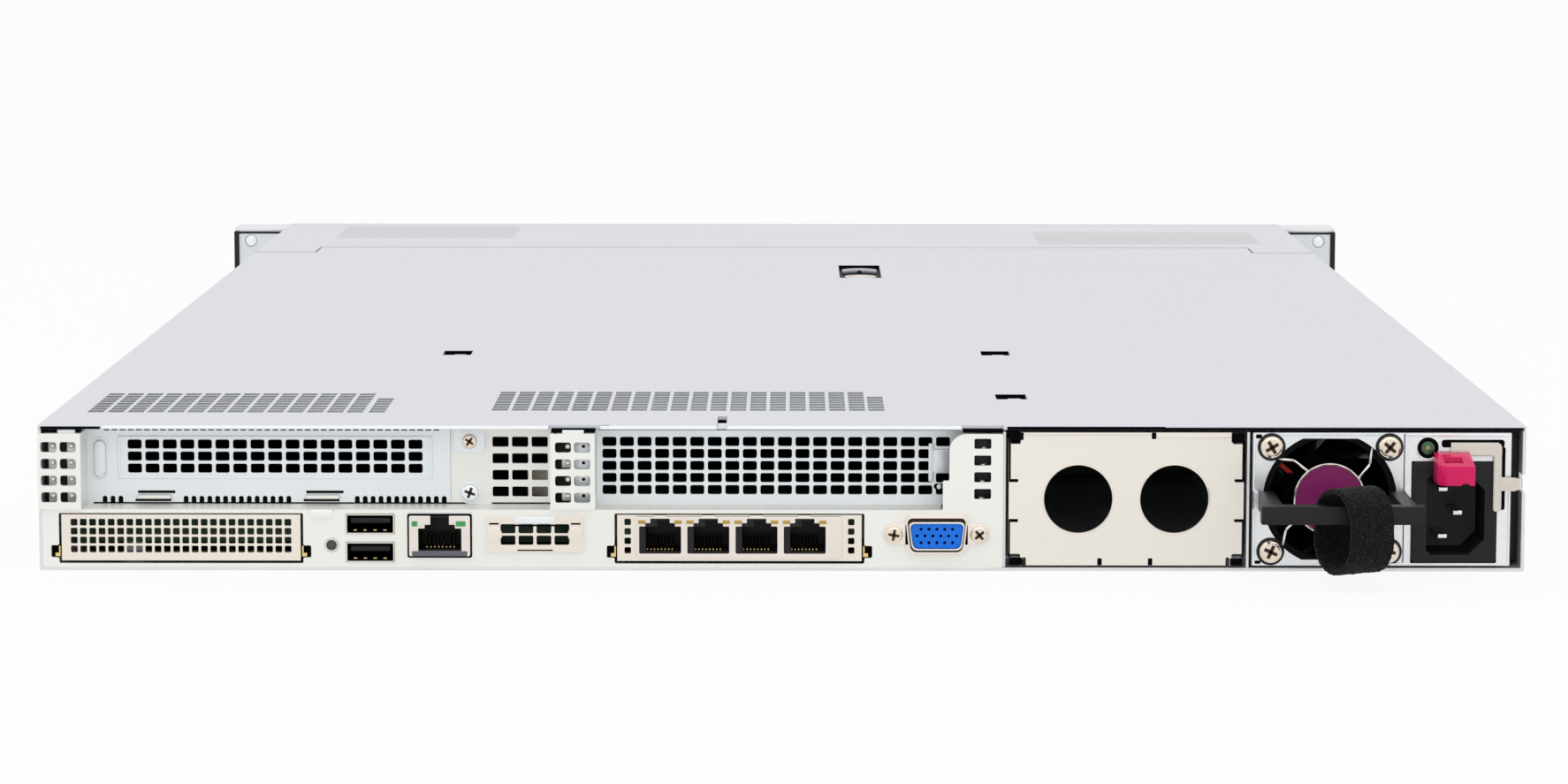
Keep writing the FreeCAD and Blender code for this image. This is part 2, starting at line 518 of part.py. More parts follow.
def module_frame(name, x, z, deep):
    """A shallow tray behind a card face: sheet face with folded sides."""
    face = box(f"{name}_face", x, ("rear", "rear + plate_steel"), z)
    sides = [box(f"{name}_west", (x[0], f"{x[0]} + plate_steel"), ("rear", f"rear + {deep}"), z),
             box(f"{name}_east", (f"{x[1]} - plate_steel", x[1]), ("rear", f"rear + {deep}"), z),
             box(f"{name}_foot", x, ("rear", f"rear + {deep}"), (z[0], f"{z[0]} + plate_steel"))]
    return fuse(f"{name}_tray", face, *sides)


def expansion_blank():
    x = ("expansion_left + module_clear", "expansion_right - module_clear")
    z = ("band_opening_foot + module_clear", "band_opening_top - module_clear / 2")
    tray = module_frame("expansion", x, z, "module_deep")
    holes = punched("expansion_holes", "xz",
                    ((f"{x[0]} + expansion_rim", f"{x[1]} - expansion_rim"),
                     (f"{z[0]} + expansion_rim", f"{z[1]} - expansion_rim / 2")),
                    ("expansion_hole", "expansion_hole"), ("expansion_pitch_wide", "expansion_pitch_high"),
                    ("rear - slip", "rear + plate_steel + slip"))
    node("expansion_blank", cut("expansion_blank", tray, holes))


def module_clips():
    """Springy grounding clips in the notches beside the two card faces."""
    clips = []
    for index, (edge, way) in enumerate((("expansion_left", -1), ("expansion_right", 1),
                                         ("network_left", -1), ("network_right", 1))):
        inner = f"{edge} - {way} * module_clear / 2"
        outer = f"{edge} + {way} * (clip_wide - slip)"
        x = (outer, inner) if way < 0 else (inner, outer)
        z = ("clip_lift + slip", "clip_lift + clip_high - slip")
        leaf = box(f"clip_leaf_{index}", x, ("rear", "rear + clip_steel"), z)
        hook = (f"{inner} - clip_steel", inner) if way < 0 else (inner, f"{inner} + clip_steel")
        tail = box(f"clip_tail_{index}", hook, ("rear", "rear + module_deep / 3"), z)
        clips.append(fuse(f"clip_{index}", leaf, tail))
    node("module_clips", group("module_clips", clips))


def network_card():
    """Face plate and four-jack block of the network card."""
    block_x = ("network_left + network_edge + module_clear",
               "network_right - network_edge - module_clear - play")
    block_z = ("band_opening_foot + module_clear + network_rise", "band_opening_top - network_rise")
    plate_x = ("network_left + module_clear", "network_right - module_clear")
    plate_z = ("band_opening_foot + module_clear", "band_opening_top - module_clear / 2")
    window = box("network_window", shifted(block_x[:1], "-slip") + shifted(block_x[1:], "slip"), REAR_SKIN,
                 shifted(block_z[:1], "-slip") + shifted(block_z[1:], "slip"))
    vents = []
    vent_z = (f"{plate_z[0]} + expansion_rim", f"{plate_z[1]} - expansion_rim / 2")
    for side, x in enumerate((f"{plate_x[0]} + expansion_rim",
                              f"{plate_x[1]} - expansion_rim - network_hole")):
        for index, z in enumerate(starts(vent_z, "network_hole", "network_hole_pitch")):
            vents.append(box(f"network_vent_{side}_{index}", (x, f"{x} + network_hole"), REAR_SKIN,
                             (z, f"{z} + network_hole")))
    tray = module_frame("network", plate_x, plate_z, "module_deep")
    node("network_faceplate", cut("network_faceplate", tray, window, *vents))
    block = box("jack_block", block_x, ("rear - network_stand", "rear + jack_deep + network_stand"), block_z)
    cavities = []
    for index, x in enumerate(starts(block_x, "network_cavity_wide", "network_pitch")):
        cavity_z = f"{block_z[0]} + network_sill"
        mouth = ("rear - network_stand - slip", "rear + jack_deep")
        cavities.append(box(f"port_{index}", (x, f"{x} + network_cavity_wide"), mouth,
                            (cavity_z, f"{cavity_z} + network_cavity_high")))
        notch_x = f"{x} + (network_cavity_wide - jack_notch_wide) / 2"
        cavities.append(box(f"port_notch_{index}", (notch_x, f"{notch_x} + jack_notch_wide"), mouth,
                            (cavity_z, f"{cavity_z} + network_cavity_high + network_notch_high")))
    node("network_jacks", cut("network_jacks", block, *cavities))


def management_jack():
    body = box("management_body", ("jack_left", "jack_right"),
               ("rear - slip", "rear + jack_deep + network_stand"),
               ("jack_bottom", "jack_bottom + jack_height"))
    middle = "(jack_left + jack_right) / 2"
    mouth = ("rear - 2 * slip", "rear + jack_deep")
    low = "jack_bottom + jack_sill"
    cavity = box("management_cavity", (f"{middle} - jack_cavity_wide / 2", f"{middle} + jack_cavity_wide / 2"),
                 mouth, (low, f"{low} + jack_cavity_high"))
    notch = box("management_notch", (f"{middle} - jack_notch_wide / 2", f"{middle} + jack_notch_wide / 2"),
                mouth, (low, f"{low} + jack_cavity_high + jack_notch_high"))
    node("management_jack", cut("management_jack", body, cavity, notch))


def usb_ports():
    ports = []
    for index, foot in enumerate(("usb_bottom", "usb_bottom + usb_height + usb_spacing")):
        shell = box(f"usb_shell_{index}", ("usb_left", "usb_right"), ("rear - slip", "rear + usb_deep"),
                    (foot, f"{foot} + usb_height"))
        cavity = box(f"usb_cavity_{index}", ("usb_left + usb_shell", "usb_right - usb_shell"),
                     ("rear - 2 * slip", "rear + usb_deep - usb_shell"),
                     (f"{foot} + usb_shell", f"{foot} + usb_height - usb_shell"))
        blade_low = f"{foot} + (usb_height - usb_tongue) / 2"
        blade = box(f"usb_blade_{index}", ("usb_left + 2 * usb_shell", "usb_right - 2 * usb_shell"),
                    ("rear + usb_shell", "rear + usb_deep"), (blade_low, f"{blade_low} + usb_tongue"))
        ports.append(fuse(f"usb_port_{index}", cut(f"usb_can_{index}", shell, cavity), blade))
    node("usb_ports", group("usb_ports", ports))


def serial_port_blank():
    x = ("serial_left", "serial_right")
    z = ("serial_bottom", "serial_bottom + serial_height")
    plate = box("serial_plate", x, ("rear - plate_steel", "rear"), z)
    holes = punched("serial_holes", "xz",
                    ((f"{x[0]} + serial_rim", f"{x[1]} - serial_rim"),
                     (f"{z[0]} + serial_foot", f"{z[1]} - serial_foot")),
                    ("serial_hole_wide", "serial_hole_high"), ("serial_pitch_wide", "serial_pitch_high"),
                    ("rear - plate_steel - slip", "rear + slip"))
    node("serial_port_blank", cut("serial_port_blank", plate, holes))


def video_socket():
    """Metal shell with sloping sides on its flange, and the insert with three rows of pin holes."""
    def hood(name, grow, y):
        wide = f"(video_shell_wide / 2 + {grow})"
        high = f"(video_shell_high / 2 + {grow})"
        deep = f"({y[1]}) - ({y[0]})"
        block = doc.addObject("Part::Wedge", name)
        ends = {"Xmin": f"video_slope - {wide}", "Xmax": f"{wide} - video_slope", "X2min": f"-{wide}",
                "X2max": wide, "Ymin": "0", "Ymax": f"2 * {high}", "Zmin": "0", "Zmax": deep, "Z2min": "0",
                "Z2max": deep}
        for end, where in ends.items():
            block.setExpression(end, formula(where))
        block.Placement = FreeCAD.Placement(FreeCAD.Vector(), FreeCAD.Rotation(FreeCAD.Vector(1, 0, 0), 90))
        return place(block, "video_x", y[1], f"video_z - {high}")

    out = "rear - video_shell_out"
    lobe = "(video_flange - video_screw_spacing) / 2"
    skin = ("rear - video_steel", "rear")
    screw_x = ("video_x - video_screw_spacing / 2", "video_x + video_screw_spacing / 2")
    flange = [box("video_band", screw_x, skin, (f"video_z - {lobe}", f"video_z + {lobe}")),
              box("video_body", ("video_x - video_body_wide / 2", "video_x + video_body_wide / 2"), skin,
                  ("video_bottom", "video_bottom + video_height"))]
    flange += [rod(f"video_lobe_{index}", "y", x, skin, "video_z", lobe) for index, x in enumerate(screw_x)]
    shell = hood("video_shell_outer", "-slip", (out, "rear"))
    bore = hood("video_shell_bore", "-slip - video_steel", (f"{out} - slip", "rear + slip"))
    screw_holes = [prism(f"video_screw_hole_{index}", "y", x, ("rear - video_shell_out", "rear + slip"),
                         "video_z", "video_screw_radius / 2 + slip", SMALL_SIDES)
                   for index, x in enumerate(screw_x)]
    node("video_shell", cut("video_shell", fuse("video_metal", *flange, shell), bore, *screw_holes))
    insert = hood("video_block", "-2 * slip - video_steel", (f"{out} + video_steel", "rear + usb_deep"))
    pins = []
    for row in range(VIDEO_ROWS):
        level = row - (VIDEO_ROWS - 1) / 2
        for column in range(VIDEO_COLUMNS):
            along = column - (VIDEO_COLUMNS - 1) / 2
            x = f"video_x + ({along} + {level} / 4) * video_pin_pitch"
            z = f"video_z + {level} * video_row_pitch"
            pins.append(box(f"video_pin_{row}_{column}",
                            (f"{x} - video_pin_radius", f"{x} + video_pin_radius"), (f"{out} - slip", "rear"),
                            (f"{z} - video_pin_radius", f"{z} + video_pin_radius")))
    node("video_insert", cut("video_insert", insert, group("video_pins", pins)))


def case_screws():
    """Panel screws, video jack screws and the rail studs on both side walls."""
    middle_x = "left_slot_end + tab_inset + tab_width / 2"
    head_rear = "plate_rear - screw_head"
    screws = [
        prism("plate_screw_low", "y", middle_x, (head_rear, "plate_rear"), "io_top + screw_lift",
              "screw_radius", SMALL_SIDES),
        prism("plate_screw_high", "y", middle_x, (f"{head_rear} - plate_steel", "plate_rear - plate_steel"),
              "upper_top - tab_drop + small_screw_radius + panel_steel", "small_screw_radius", SMALL_SIDES),
    ]
    for index, way in enumerate((-1, 1)):
        screws.append(prism(f"video_screw_{index}", "y", f"video_x + {way} * video_screw_spacing / 2",
                            ("rear - video_shell_out", "rear - video_steel"), "video_z",
                            "video_screw_radius", SMALL_SIDES))
    for index, y in enumerate(("rear + stud_from_end", "0", "front - stud_front")):
        screws.append(rod(f"rail_stud_left_{index}", "x", ("left - stud_long", "left"), y, "stud_height",
                          "stud_radius"))
        screws.append(rod(f"rail_stud_right_{index}", "x", ("right", "right + stud_long"), y, "stud_height",
                          "stud_radius"))
    node("case_screws", group("case_screws", screws))


def uid_light():
    lens = rod("uid_lens", "y", "uid_x", ("rear - slip", "rear + uid_long"), "uid_height", "uid_radius")
    collar = prism("uid_collar", "y", "uid_x", ("rear + panel_steel + slip", "rear + uid_long"), "uid_height",
                   "uid_radius + lens_collar", SMALL_SIDES)
    node("uid_light", fuse("uid_light", lens, collar))


def psu_bay_divider():
    """A channel that parts the two power-supply bays from the card side."""
    high = ("floor_steel", "wall_top - play")
    end = "rear + bay_wall_end"
    middle = ("blank_right", "blank_right + bay_wall")
    card_wall = box("bay_card_wall", ("io_right", "blank_left"), ("rear + panel_steel", end), high)
    middle_wall = box("bay_middle_wall", middle, ("rear", end), high)
    web = box("bay_web", ("io_right", middle[1]), ("rear + blank_deep + blank_notch", end),
              ("floor_steel", "floor_steel + bay_wall"))
    node("psu_bay_divider", fuse("psu_bay_divider", card_wall, middle_wall, web))


def rectangle(sketch, x, z):
    """A rectangle in a sketch, measured from the sketch's origin by four tied distances."""
    first = sketch.GeometryCount
    corners = [(number(x[i]), number(z[j])) for i, j in ((0, 0), (1, 0), (1, 1), (0, 1))]
    for index in range(4):
        start = FreeCAD.Vector(*corners[index], 0)
        end = FreeCAD.Vector(*corners[(index + 1) % 4], 0)
        sketch.addGeometry(Part.LineSegment(start, end), False)
    for index in range(4):
        sketch.addConstraint(Sketcher.Constraint("Coincident", first + index, 2, first + (index + 1) % 4, 1))
        way = "Vertical" if index % 2 else "Horizontal"
        sketch.addConstraint(Sketcher.Constraint(way, first + index))
    for kind, line, where in (("DistanceX", first, x[0]), ("DistanceX", first + 1, x[1]),
                              ("DistanceY", first, z[0]), ("DistanceY", first + 2, z[1])):
        if where == "0":
            axis = -2 if kind == "DistanceX" else -1
            sketch.addConstraint(Sketcher.Constraint("PointOnObject", line, 1, axis))
        else:
            tie(sketch, Sketcher.Constraint(kind, -1, 1, line, 1, number(where)), where)


def tie(sketch, constraint, where):
    """Add a measured constraint and bind it to the sheet."""
    index = sketch.addConstraint(constraint)
    sketch.setExpression(f"Constraints[{index}]", formula(where))


def rear_sketch(body, name):
    """A sketch on a body's XZ plane, seen from the rear."""
    sketch = body.newObject("Sketcher::SketchObject", name)
    plane = next(part for part in body.Origin.OriginFeatures if part.Role == "XZ_Plane")
    sketch.AttachmentSupport = (plane, [""])
    sketch.MapMode = "FlatFace"
    return sketch


def psu_bay_blank():
    """Folded blank of the empty bay: padded sheet, punched finger hole mirrored to the other side."""
    wide = "blank_bay_width - 2 * blank_clear"
    high = "bay_high_z - bay_low"
    body = doc.addObject("PartDesign::Body", "psu_bay_blank")
    place(body, "blank_left + blank_clear", "rear", "bay_low")
    outline = rear_sketch(body, "blank_outline")
    rectangle(outline, ("0", wide), ("0", high))
    pad = body.newObject("PartDesign::Pad", "blank_pad")
    pad.Profile = outline
    pad.Reversed = True
    pad.setExpression("Length", formula("blank_deep"))
    hollow = rear_sketch(body, "blank_hollow")
    rectangle(hollow, ("plate_steel", f"{wide} - plate_steel"), ("plate_steel", f"{high} - plate_steel"))
    doc.recompute()
    shell = body.newObject("PartDesign::Pocket", "blank_shell")
    shell.Profile = hollow
    hollow.setExpression("AttachmentOffset.Base.z", formula("-plate_steel"))
    shell.setExpression("Length", formula("blank_deep"))
    corners = rear_sketch(body, "blank_corners")
    rectangle(corners, ("0", "blank_notch"), ("0", "blank_notch"))
    rectangle(corners, ("0", "blank_notch"), (f"{high} - blank_notch", high))
    for share in (1, 2):
        slit_z = f"{high} * {share} / 3 - blank_slit / 2"
        rectangle(corners, ("0", "blank_slit_deep"), (slit_z, f"{slit_z} + blank_slit"))
    slit_x = f"{wide} / 2 - blank_slit_spacing / 2"
    rectangle(corners, (slit_x, f"{slit_x} + blank_slit"), ("0", "blank_slit_deep"))
    hole = corners.addGeometry(Part.Circle(FreeCAD.Vector(number(f"({wide} - finger_hole_spacing) / 2"),
                                                          number(f"({high}) / 2"), 0),
                                           FreeCAD.Vector(0, 0, 1), number("finger_hole_radius")), False)
    tie(corners, Sketcher.Constraint("Radius", hole, number("finger_hole_radius")), "finger_hole_radius")
    centre_x = f"({wide} - finger_hole_spacing) / 2"
    tie(corners, Sketcher.Constraint("DistanceX", -1, 1, hole, 3, number(centre_x)), centre_x)
    tie(corners, Sketcher.Constraint("DistanceY", -1, 1, hole, 3, number(f"({high}) / 2")), f"({high}) / 2")
    doc.recompute()
    punch = body.newObject("PartDesign::Pocket", "blank_punch")
    punch.Profile = corners
    punch.setExpression("Length", formula("blank_deep + slip"))
    middle = body.newObject("PartDesign::Plane", "blank_middle")
    plane = next(part for part in body.Origin.OriginFeatures if part.Role == "YZ_Plane")
    middle.AttachmentSupport = (plane, [""])
    middle.MapMode = "FlatFace"
    middle.setExpression("AttachmentOffset.Base.z", formula(f"({wide}) / 2"))
    mirrored = body.newObject("PartDesign::Mirrored", "blank_mirrored")
    mirrored.Originals = [punch]
    mirrored.MirrorPlane = (middle, [""])
    body.Tip = mirrored
    node("psu_bay_blank", body)


def psu_case():
    """Thin steel can of the power supply, open to its face, slotted for the board's edge."""
    can = box("psu_can", ("psu_left", "psu_right"), ("rear + panel_steel", "psu_front"),
              ("bay_low", "bay_high_z"))
    inside = box("psu_inside", ("psu_left + psu_steel", "psu_right - psu_steel"),
                 ("rear", "psu_front - psu_steel"), ("bay_low + psu_steel", "bay_high_z - psu_steel"))
    middle = "(psu_left + psu_right) / 2"
    board_z = "bay_low + psu_board_lift"
    edge_slot = box("psu_edge_slot", (f"{middle} - socket_wide / 2", f"{middle} + socket_wide / 2"),
                    ("psu_front - 2 * psu_steel", "psu_front + slip"),
                    (f"{board_z} - play", f"{board_z} + board_thick + play"))
    vents = punched("psu_vents", "xz",
                    ((f"{middle} - socket_wide / 2", f"{middle} + socket_wide / 2"),
                     (f"{board_z} + psu_board_lift", "bay_high_z - psu_board_lift")),
                    ("vent_hole_wide", "vent_hole_long"), ("vent_pitch_wide", "vent_pitch_long"),
                    ("psu_front - 2 * psu_steel", "psu_front + slip"))
    opened = cut("psu_can_opened", can, inside, edge_slot)
    node("psu_case", cut("psu_case", opened, vents))


def fan_corners(name, y, radius):
    """Four bars at the corners of the power supply's fan."""
    corners = []
    for index, (side, level) in enumerate(((-1, -1), (-1, 1), (1, -1), (1, 1))):
        corners.append(prism(f"{name}_{index}", "y", f"psu_fan_x + {side} * fan_screw_wide / 2", y,
                             f"bay_mid + {level} * fan_screw_high / 2", radius, SMALL_SIDES))
    return corners


def psu_face():
    """Rear face with a fan opening cut flat above and below, and the two lugs that carry the handle."""
    skin = ("rear", "rear + panel_steel")
    plate = box("psu_plate", ("psu_left", "psu_right"), skin, ("bay_low", "bay_high_z"))
    lugs = []
    lug_y = ("rear - play - handle_thick", "rear + panel_steel")
    lug_z = ("handle_height - handle_thick / 2", "handle_height + handle_thick / 2")
    for index, (edge, way) in enumerate((("handle_left", 1), ("handle_right", -1))):
        far = f"{edge} + {way} * handle_lug"
        tip = f"{far} + {way} * handle_pin_long"
        x, pin = ((edge, far), (far, tip)) if way > 0 else ((far, edge), (tip, far))
        lugs.append(box(f"handle_lug_{index}", x, lug_y, lug_z))
        lugs.append(rod(f"handle_pin_{index}", "x", pin, "handle_y", "handle_height", "handle_pin"))
    round_hole = rod("psu_round", "y", "psu_fan_x", REAR_SKIN, "bay_mid", "psu_fan_size / 2 - fan_rim")
    flat_hole = box("psu_flat", ("psu_left", "psu_right"), REAR_SKIN,
                    ("bay_mid - psu_bore", "bay_mid + psu_bore"))
    light_hole = rod("psu_light_hole", "y", "inlet_left + light_left", REAR_SKIN, "bay_high_z - light_drop",
                     "light_radius + slip")
    inlet_hole = box("psu_inlet_hole", ("inlet_left - slip", "inlet_right + slip"), REAR_SKIN,
                     ("inlet_low - slip", "inlet_top + slip"))
    screw_holes = fan_corners("psu_screw_hole", REAR_SKIN, "fan_screw_hole + slip")
    fan_hole = common("psu_fan_hole", round_hole, flat_hole)
    body = cut("psu_plate_opened", plate, fan_hole, light_hole, inlet_hole, *screw_holes)
    node("psu_face", fuse("psu_face", body, *lugs))


def fan_mount(name, hub, thick, reach, shaft):
    """Motor seat of a fan in its own frame, axis along Z from the seat: hub, four struts and shaft."""
    seat = prism(f"{name}_seat", "z", "0", "0", ("0", thick), hub, HIDDEN_SIDES)
    struts = [box(f"{name}_strut_x", (f"-({reach})", reach), ("-strut_wide / 2", "strut_wide / 2"),
                  ("strut_wide / 4", thick)),
              box(f"{name}_strut_y", ("-strut_wide / 2", "strut_wide / 2"), (f"-({reach})", reach),
                  ("strut_wide / 4", thick))]
    spindle = rod(f"{name}_spindle", "z", "0", "0", ("0", shaft), "shaft_radius")
    mount = fuse(f"{name}_mount", seat, *struts, spindle)
    mount.Placement = FreeCAD.Placement(FreeCAD.Vector(), TURNED["y"].multiply(
        FreeCAD.Rotation(FreeCAD.Vector(0, 0, 1), number("strut_turn"))))
    return mount


def rotor(name, hub, tip, long):
    """A fan rotor in its own frame, axis along Z: drilled hub and tilted flat blades that end within tip."""
    chord = f"({long}) * blade_share"
    lean = f"(({chord}) * sin(blade_tilt) + blade_thick * cos(blade_tilt)) / 2"
    blade = box(f"{name}_blade", ("-blade_thick / 2", "blade_thick / 2"),
                (f"({hub}) / 2", f"sqrt(({tip}) * ({tip}) - {lean} * {lean})"),
                (f"-({chord}) / 2", f"({chord}) / 2"))
    tilted = group(f"{name}_tilted", [blade])
    turn = FreeCAD.Rotation(FreeCAD.Vector(0, 1, 0), number("blade_tilt"))
    tilted.Placement = FreeCAD.Placement(FreeCAD.Vector(), turn)
    place(tilted, z=f"({long}) / 2")
    blades = []
    for index in range(BLADE_COUNT):
        spun = group(f"{name}_spun_{index}", [tilted])
        around = FreeCAD.Rotation(FreeCAD.Vector(0, 0, 1), 360 * index / BLADE_COUNT)
        spun.Placement = FreeCAD.Placement(FreeCAD.Vector(), around)
        blades.append(spun)
    core = prism(f"{name}_core", "z", "0", "0", ("0", long), hub, HIDDEN_SIDES)
    bore = rod(f"{name}_bore", "z", "0", "0", (f"-({long})", f"2 * ({long})"), "shaft_radius + slip")
    spinner = cut(name, fuse(f"{name}_bladed", core, *blades), bore)
    spinner.Placement = FreeCAD.Placement(FreeCAD.Vector(), TURNED["y"])
    return spinner


def psu_fan():
    y = ("rear + panel_steel", "rear + panel_steel + psu_fan_long")
    frame = box("psu_fan_block", ("psu_fan_x - psu_fan_size / 2", "psu_fan_x + psu_fan_size / 2"), y,
                ("psu_fan_low", "psu_fan_top"))
    bore = rod("psu_fan_bore", "y", "psu_fan_x", ("rear", "rear + 2 * psu_fan_long"), "bay_mid", "psu_bore")
    holes = fan_corners("psu_fan_tap", ("rear", "rear + panel_steel + psu_fan_long / 2"),
                        "fan_screw_hole + slip")
    mount = fan_mount("psu_fan", "psu_hub_radius", "psu_hub_thick", "psu_bore + fan_wall / 2", "shaft_long")
    place(mount, "psu_fan_x", "rear + panel_steel", "bay_mid")
    node("psu_fan_frame", fuse("psu_fan_frame", cut("psu_fan_ring", frame, bore, *holes), mount))
    spinner = rotor("psu_fan_rotor", "psu_hub_radius - blade_gap", "psu_bore - blade_gap",
                    "shaft_long - psu_hub_thick - blade_gap")
    place(spinner, "psu_fan_x", "rear + panel_steel + psu_hub_thick + blade_gap", "bay_mid")
    node("psu_fan_rotor", spinner)
    screws = []
    heads = fan_corners("fan_screw_top", ("rear - fan_screw_head", "rear"), "fan_screw_radius")
    shanks = fan_corners("fan_screw_shank", ("rear - fan_screw_head", "rear + psu_fan_long / 3"),
                         "fan_screw_hole")
    for index, (head, shank) in enumerate(zip(heads, shanks)):
        screws.append(fuse(f"fan_screw_{index}", head, shank))
    node("psu_fan_screws", group("psu_fan_screws", screws))


def psu_inlet():
    """Mains inlet: moulded housing, its cavity with two corners cut off, and three blades."""
    housing = box("inlet_housing", ("inlet_left", "inlet_right"), ("rear", "rear + inlet_deep"),
                  ("inlet_low", "inlet_top"))
    mouth = ("rear - slip", "rear + cavity_deep")
    top = "cavity_low + cavity_high"
    cavity = box("inlet_cavity", ("cavity_west", "cavity_east"), mouth, ("cavity_low", top))
    keep = []
    for index, corner in enumerate(("cavity_low", top)):
        wedge = box(f"inlet_corner_{index}", ("-cavity_chamfer", "cavity_chamfer"),
                    ("0", "cavity_deep + 2 * slip"), ("-cavity_chamfer / sqrt(2)", "cavity_chamfer / sqrt(2)"))
        diamond = group(f"inlet_diamond_{index}", [wedge])
        way = 45 if index == 0 else -45
        turn = FreeCAD.Rotation(FreeCAD.Vector(0, 1, 0), -way)
        diamond.Placement = FreeCAD.Placement(FreeCAD.Vector(), turn)
        keep.append(place(diamond, "cavity_east", "rear - 2 * slip", corner))
    node("psu_inlet", cut("psu_inlet", housing, cut("inlet_void", cavity, *keep)))
    middle = "(cavity_low + cavity_low + cavity_high) / 2"
    blades = []
    root = ("rear + cavity_deep - pin_out", "rear + cavity_deep")
    for index, (side, rise) in enumerate((("pin_side", "pin_spread / 2"), ("pin_side", "-pin_spread / 2"),
                                          ("earth_side", "0"))):
        x = f"cavity_west + {side}"
        z = f"{middle} + {rise}"
        blades.append(box(f"inlet_blade_{index}", (f"{x} - pin_wide / 2", f"{x} + pin_wide / 2"), root,
                          (f"{z} - pin_high / 2", f"{z} + pin_high / 2")))
    node("psu_inlet_pins", group("psu_inlet_pins", blades))
    lens = rod("status_lens", "y", "inlet_left + light_left", ("rear - slip", "rear + light_long"),
               "bay_high_z - light_drop", "light_radius")
    collar = prism("status_collar", "y", "inlet_left + light_left",
                   ("rear + panel_steel + slip", "rear + light_long"), "bay_high_z - light_drop",
                   "light_radius + lens_collar", SMALL_SIDES)
    node("psu_status_light", fuse("psu_status_light", lens, collar))


def psu_latch():
    """Spring strip with its catch, and the moulded tab that is pushed aside to free the supply."""
    skin = ("strip_rear", "strip_rear + latch_strip")
    strip = box("strip_across", ("strip_west", "strip_east"), skin, ("strip_top - strip_high", "strip_top"))
    arm = box("strip_arm", ("strip_east - strip_arm_wide", "strip_east"), skin, ("strip_arm_end", "strip_top"))
    catch_z = ("catch_low", "catch_low + catch_high")
    reach = box("strip_reach", ("strip_east - strip_arm_wide", "catch_east"), skin, catch_z)
    hook = box("strip_hook", ("catch_east - catch_thick", "catch_east"), ("strip_rear", "rear + catch_deep"),
               catch_z)
    node("psu_latch_arm", fuse("psu_latch_arm", strip, arm, reach, hook))
    tab_west = "psu_right - tab_left"
    tab_east = f"{tab_west} + tab_long"
    tab_top = "tab_low + tab_tall"
    tip = "strip_rear - tab_out"
    block = box("tab_block", (tab_west, tab_east), (tip, "strip_rear"), ("tab_low", tab_top))
    slope = doc.addObject("Part::Wedge", "tab_slope_cut")
    spans = {"X": ("-slip", "tab_long + slip"), "Y": ("0", "tab_slope"), "Z": ("0", "tab_out")}
    for side, span in spans.items():
        slope.setExpression(f"{side}min", formula(span[0]))
        slope.setExpression(f"{side}max", formula(span[1]))
    slope.setExpression("X2min", formula("-slip"))
    slope.setExpression("X2max", formula("tab_long + slip"))
    slope.setExpression("Z2min", formula("tab_out"))
    slope.setExpression("Z2max", formula("tab_out"))
    slope.Placement = FreeCAD.Placement(FreeCAD.Vector(), FreeCAD.Rotation(FreeCAD.Vector(1, 0, 0), 90))
    slot_x = f"{tab_west} + (tab_long - tab_slot_wide) / 2"
    slot = box("tab_slot", (slot_x, f"{slot_x} + tab_slot_wide"),
               (f"{tip} + tab_slot_from", f"{tip} + tab_slot_from + tab_slot_long"),
               ("tab_low - slip", f"{tab_top} + slip"))
    turned = group("tab_slope_turned", [slope])
    turned.Placement = FreeCAD.Placement(FreeCAD.Vector(), FreeCAD.Rotation(FreeCAD.Vector(1, 0, 0), 180))
    place(turned, tab_west, tip, f"{tab_top} + slip")
    node("psu_latch_tab", cut("psu_latch_tab", block, turned, slot))


def psu_handle():
    """Bail on two pins: round-ended arms and a bar across."""
    level = ("handle_height - handle_thick / 2", "handle_height + handle_thick / 2")
    west = ("handle_left + handle_lug + slip", "handle_left + handle_lug + slip + handle_arm")
    east = ("handle_right - handle_lug - slip - handle_arm", "handle_right - handle_lug - slip")
    pieces = []
    for index, x in enumerate((west, east)):
        pieces.append(rod(f"handle_eye_{index}", "x", x, "handle_y", "handle_height", "handle_thick / 2"))
        pieces.append(box(f"handle_arm_{index}", x, ("handle_bar_y", "handle_y"), level))
    bar_y = ("handle_bar_y - handle_bar / 2", "handle_bar_y + handle_bar / 2")
    bar_x = ("handle_left - handle_bar_over", "handle_right + handle_bar_over")
    pieces.append(box("handle_bar_block", bar_x, bar_y, level))
    bores = [rod(f"handle_bore_{index}", "x", shifted(x[:1], "-slip") + shifted(x[1:], "slip"), "handle_y",
                 "handle_height", "handle_pin + slip") for index, x in enumerate((west, east))]
    node("psu_handle", cut("psu_handle", fuse("handle_bail", *pieces), *bores))


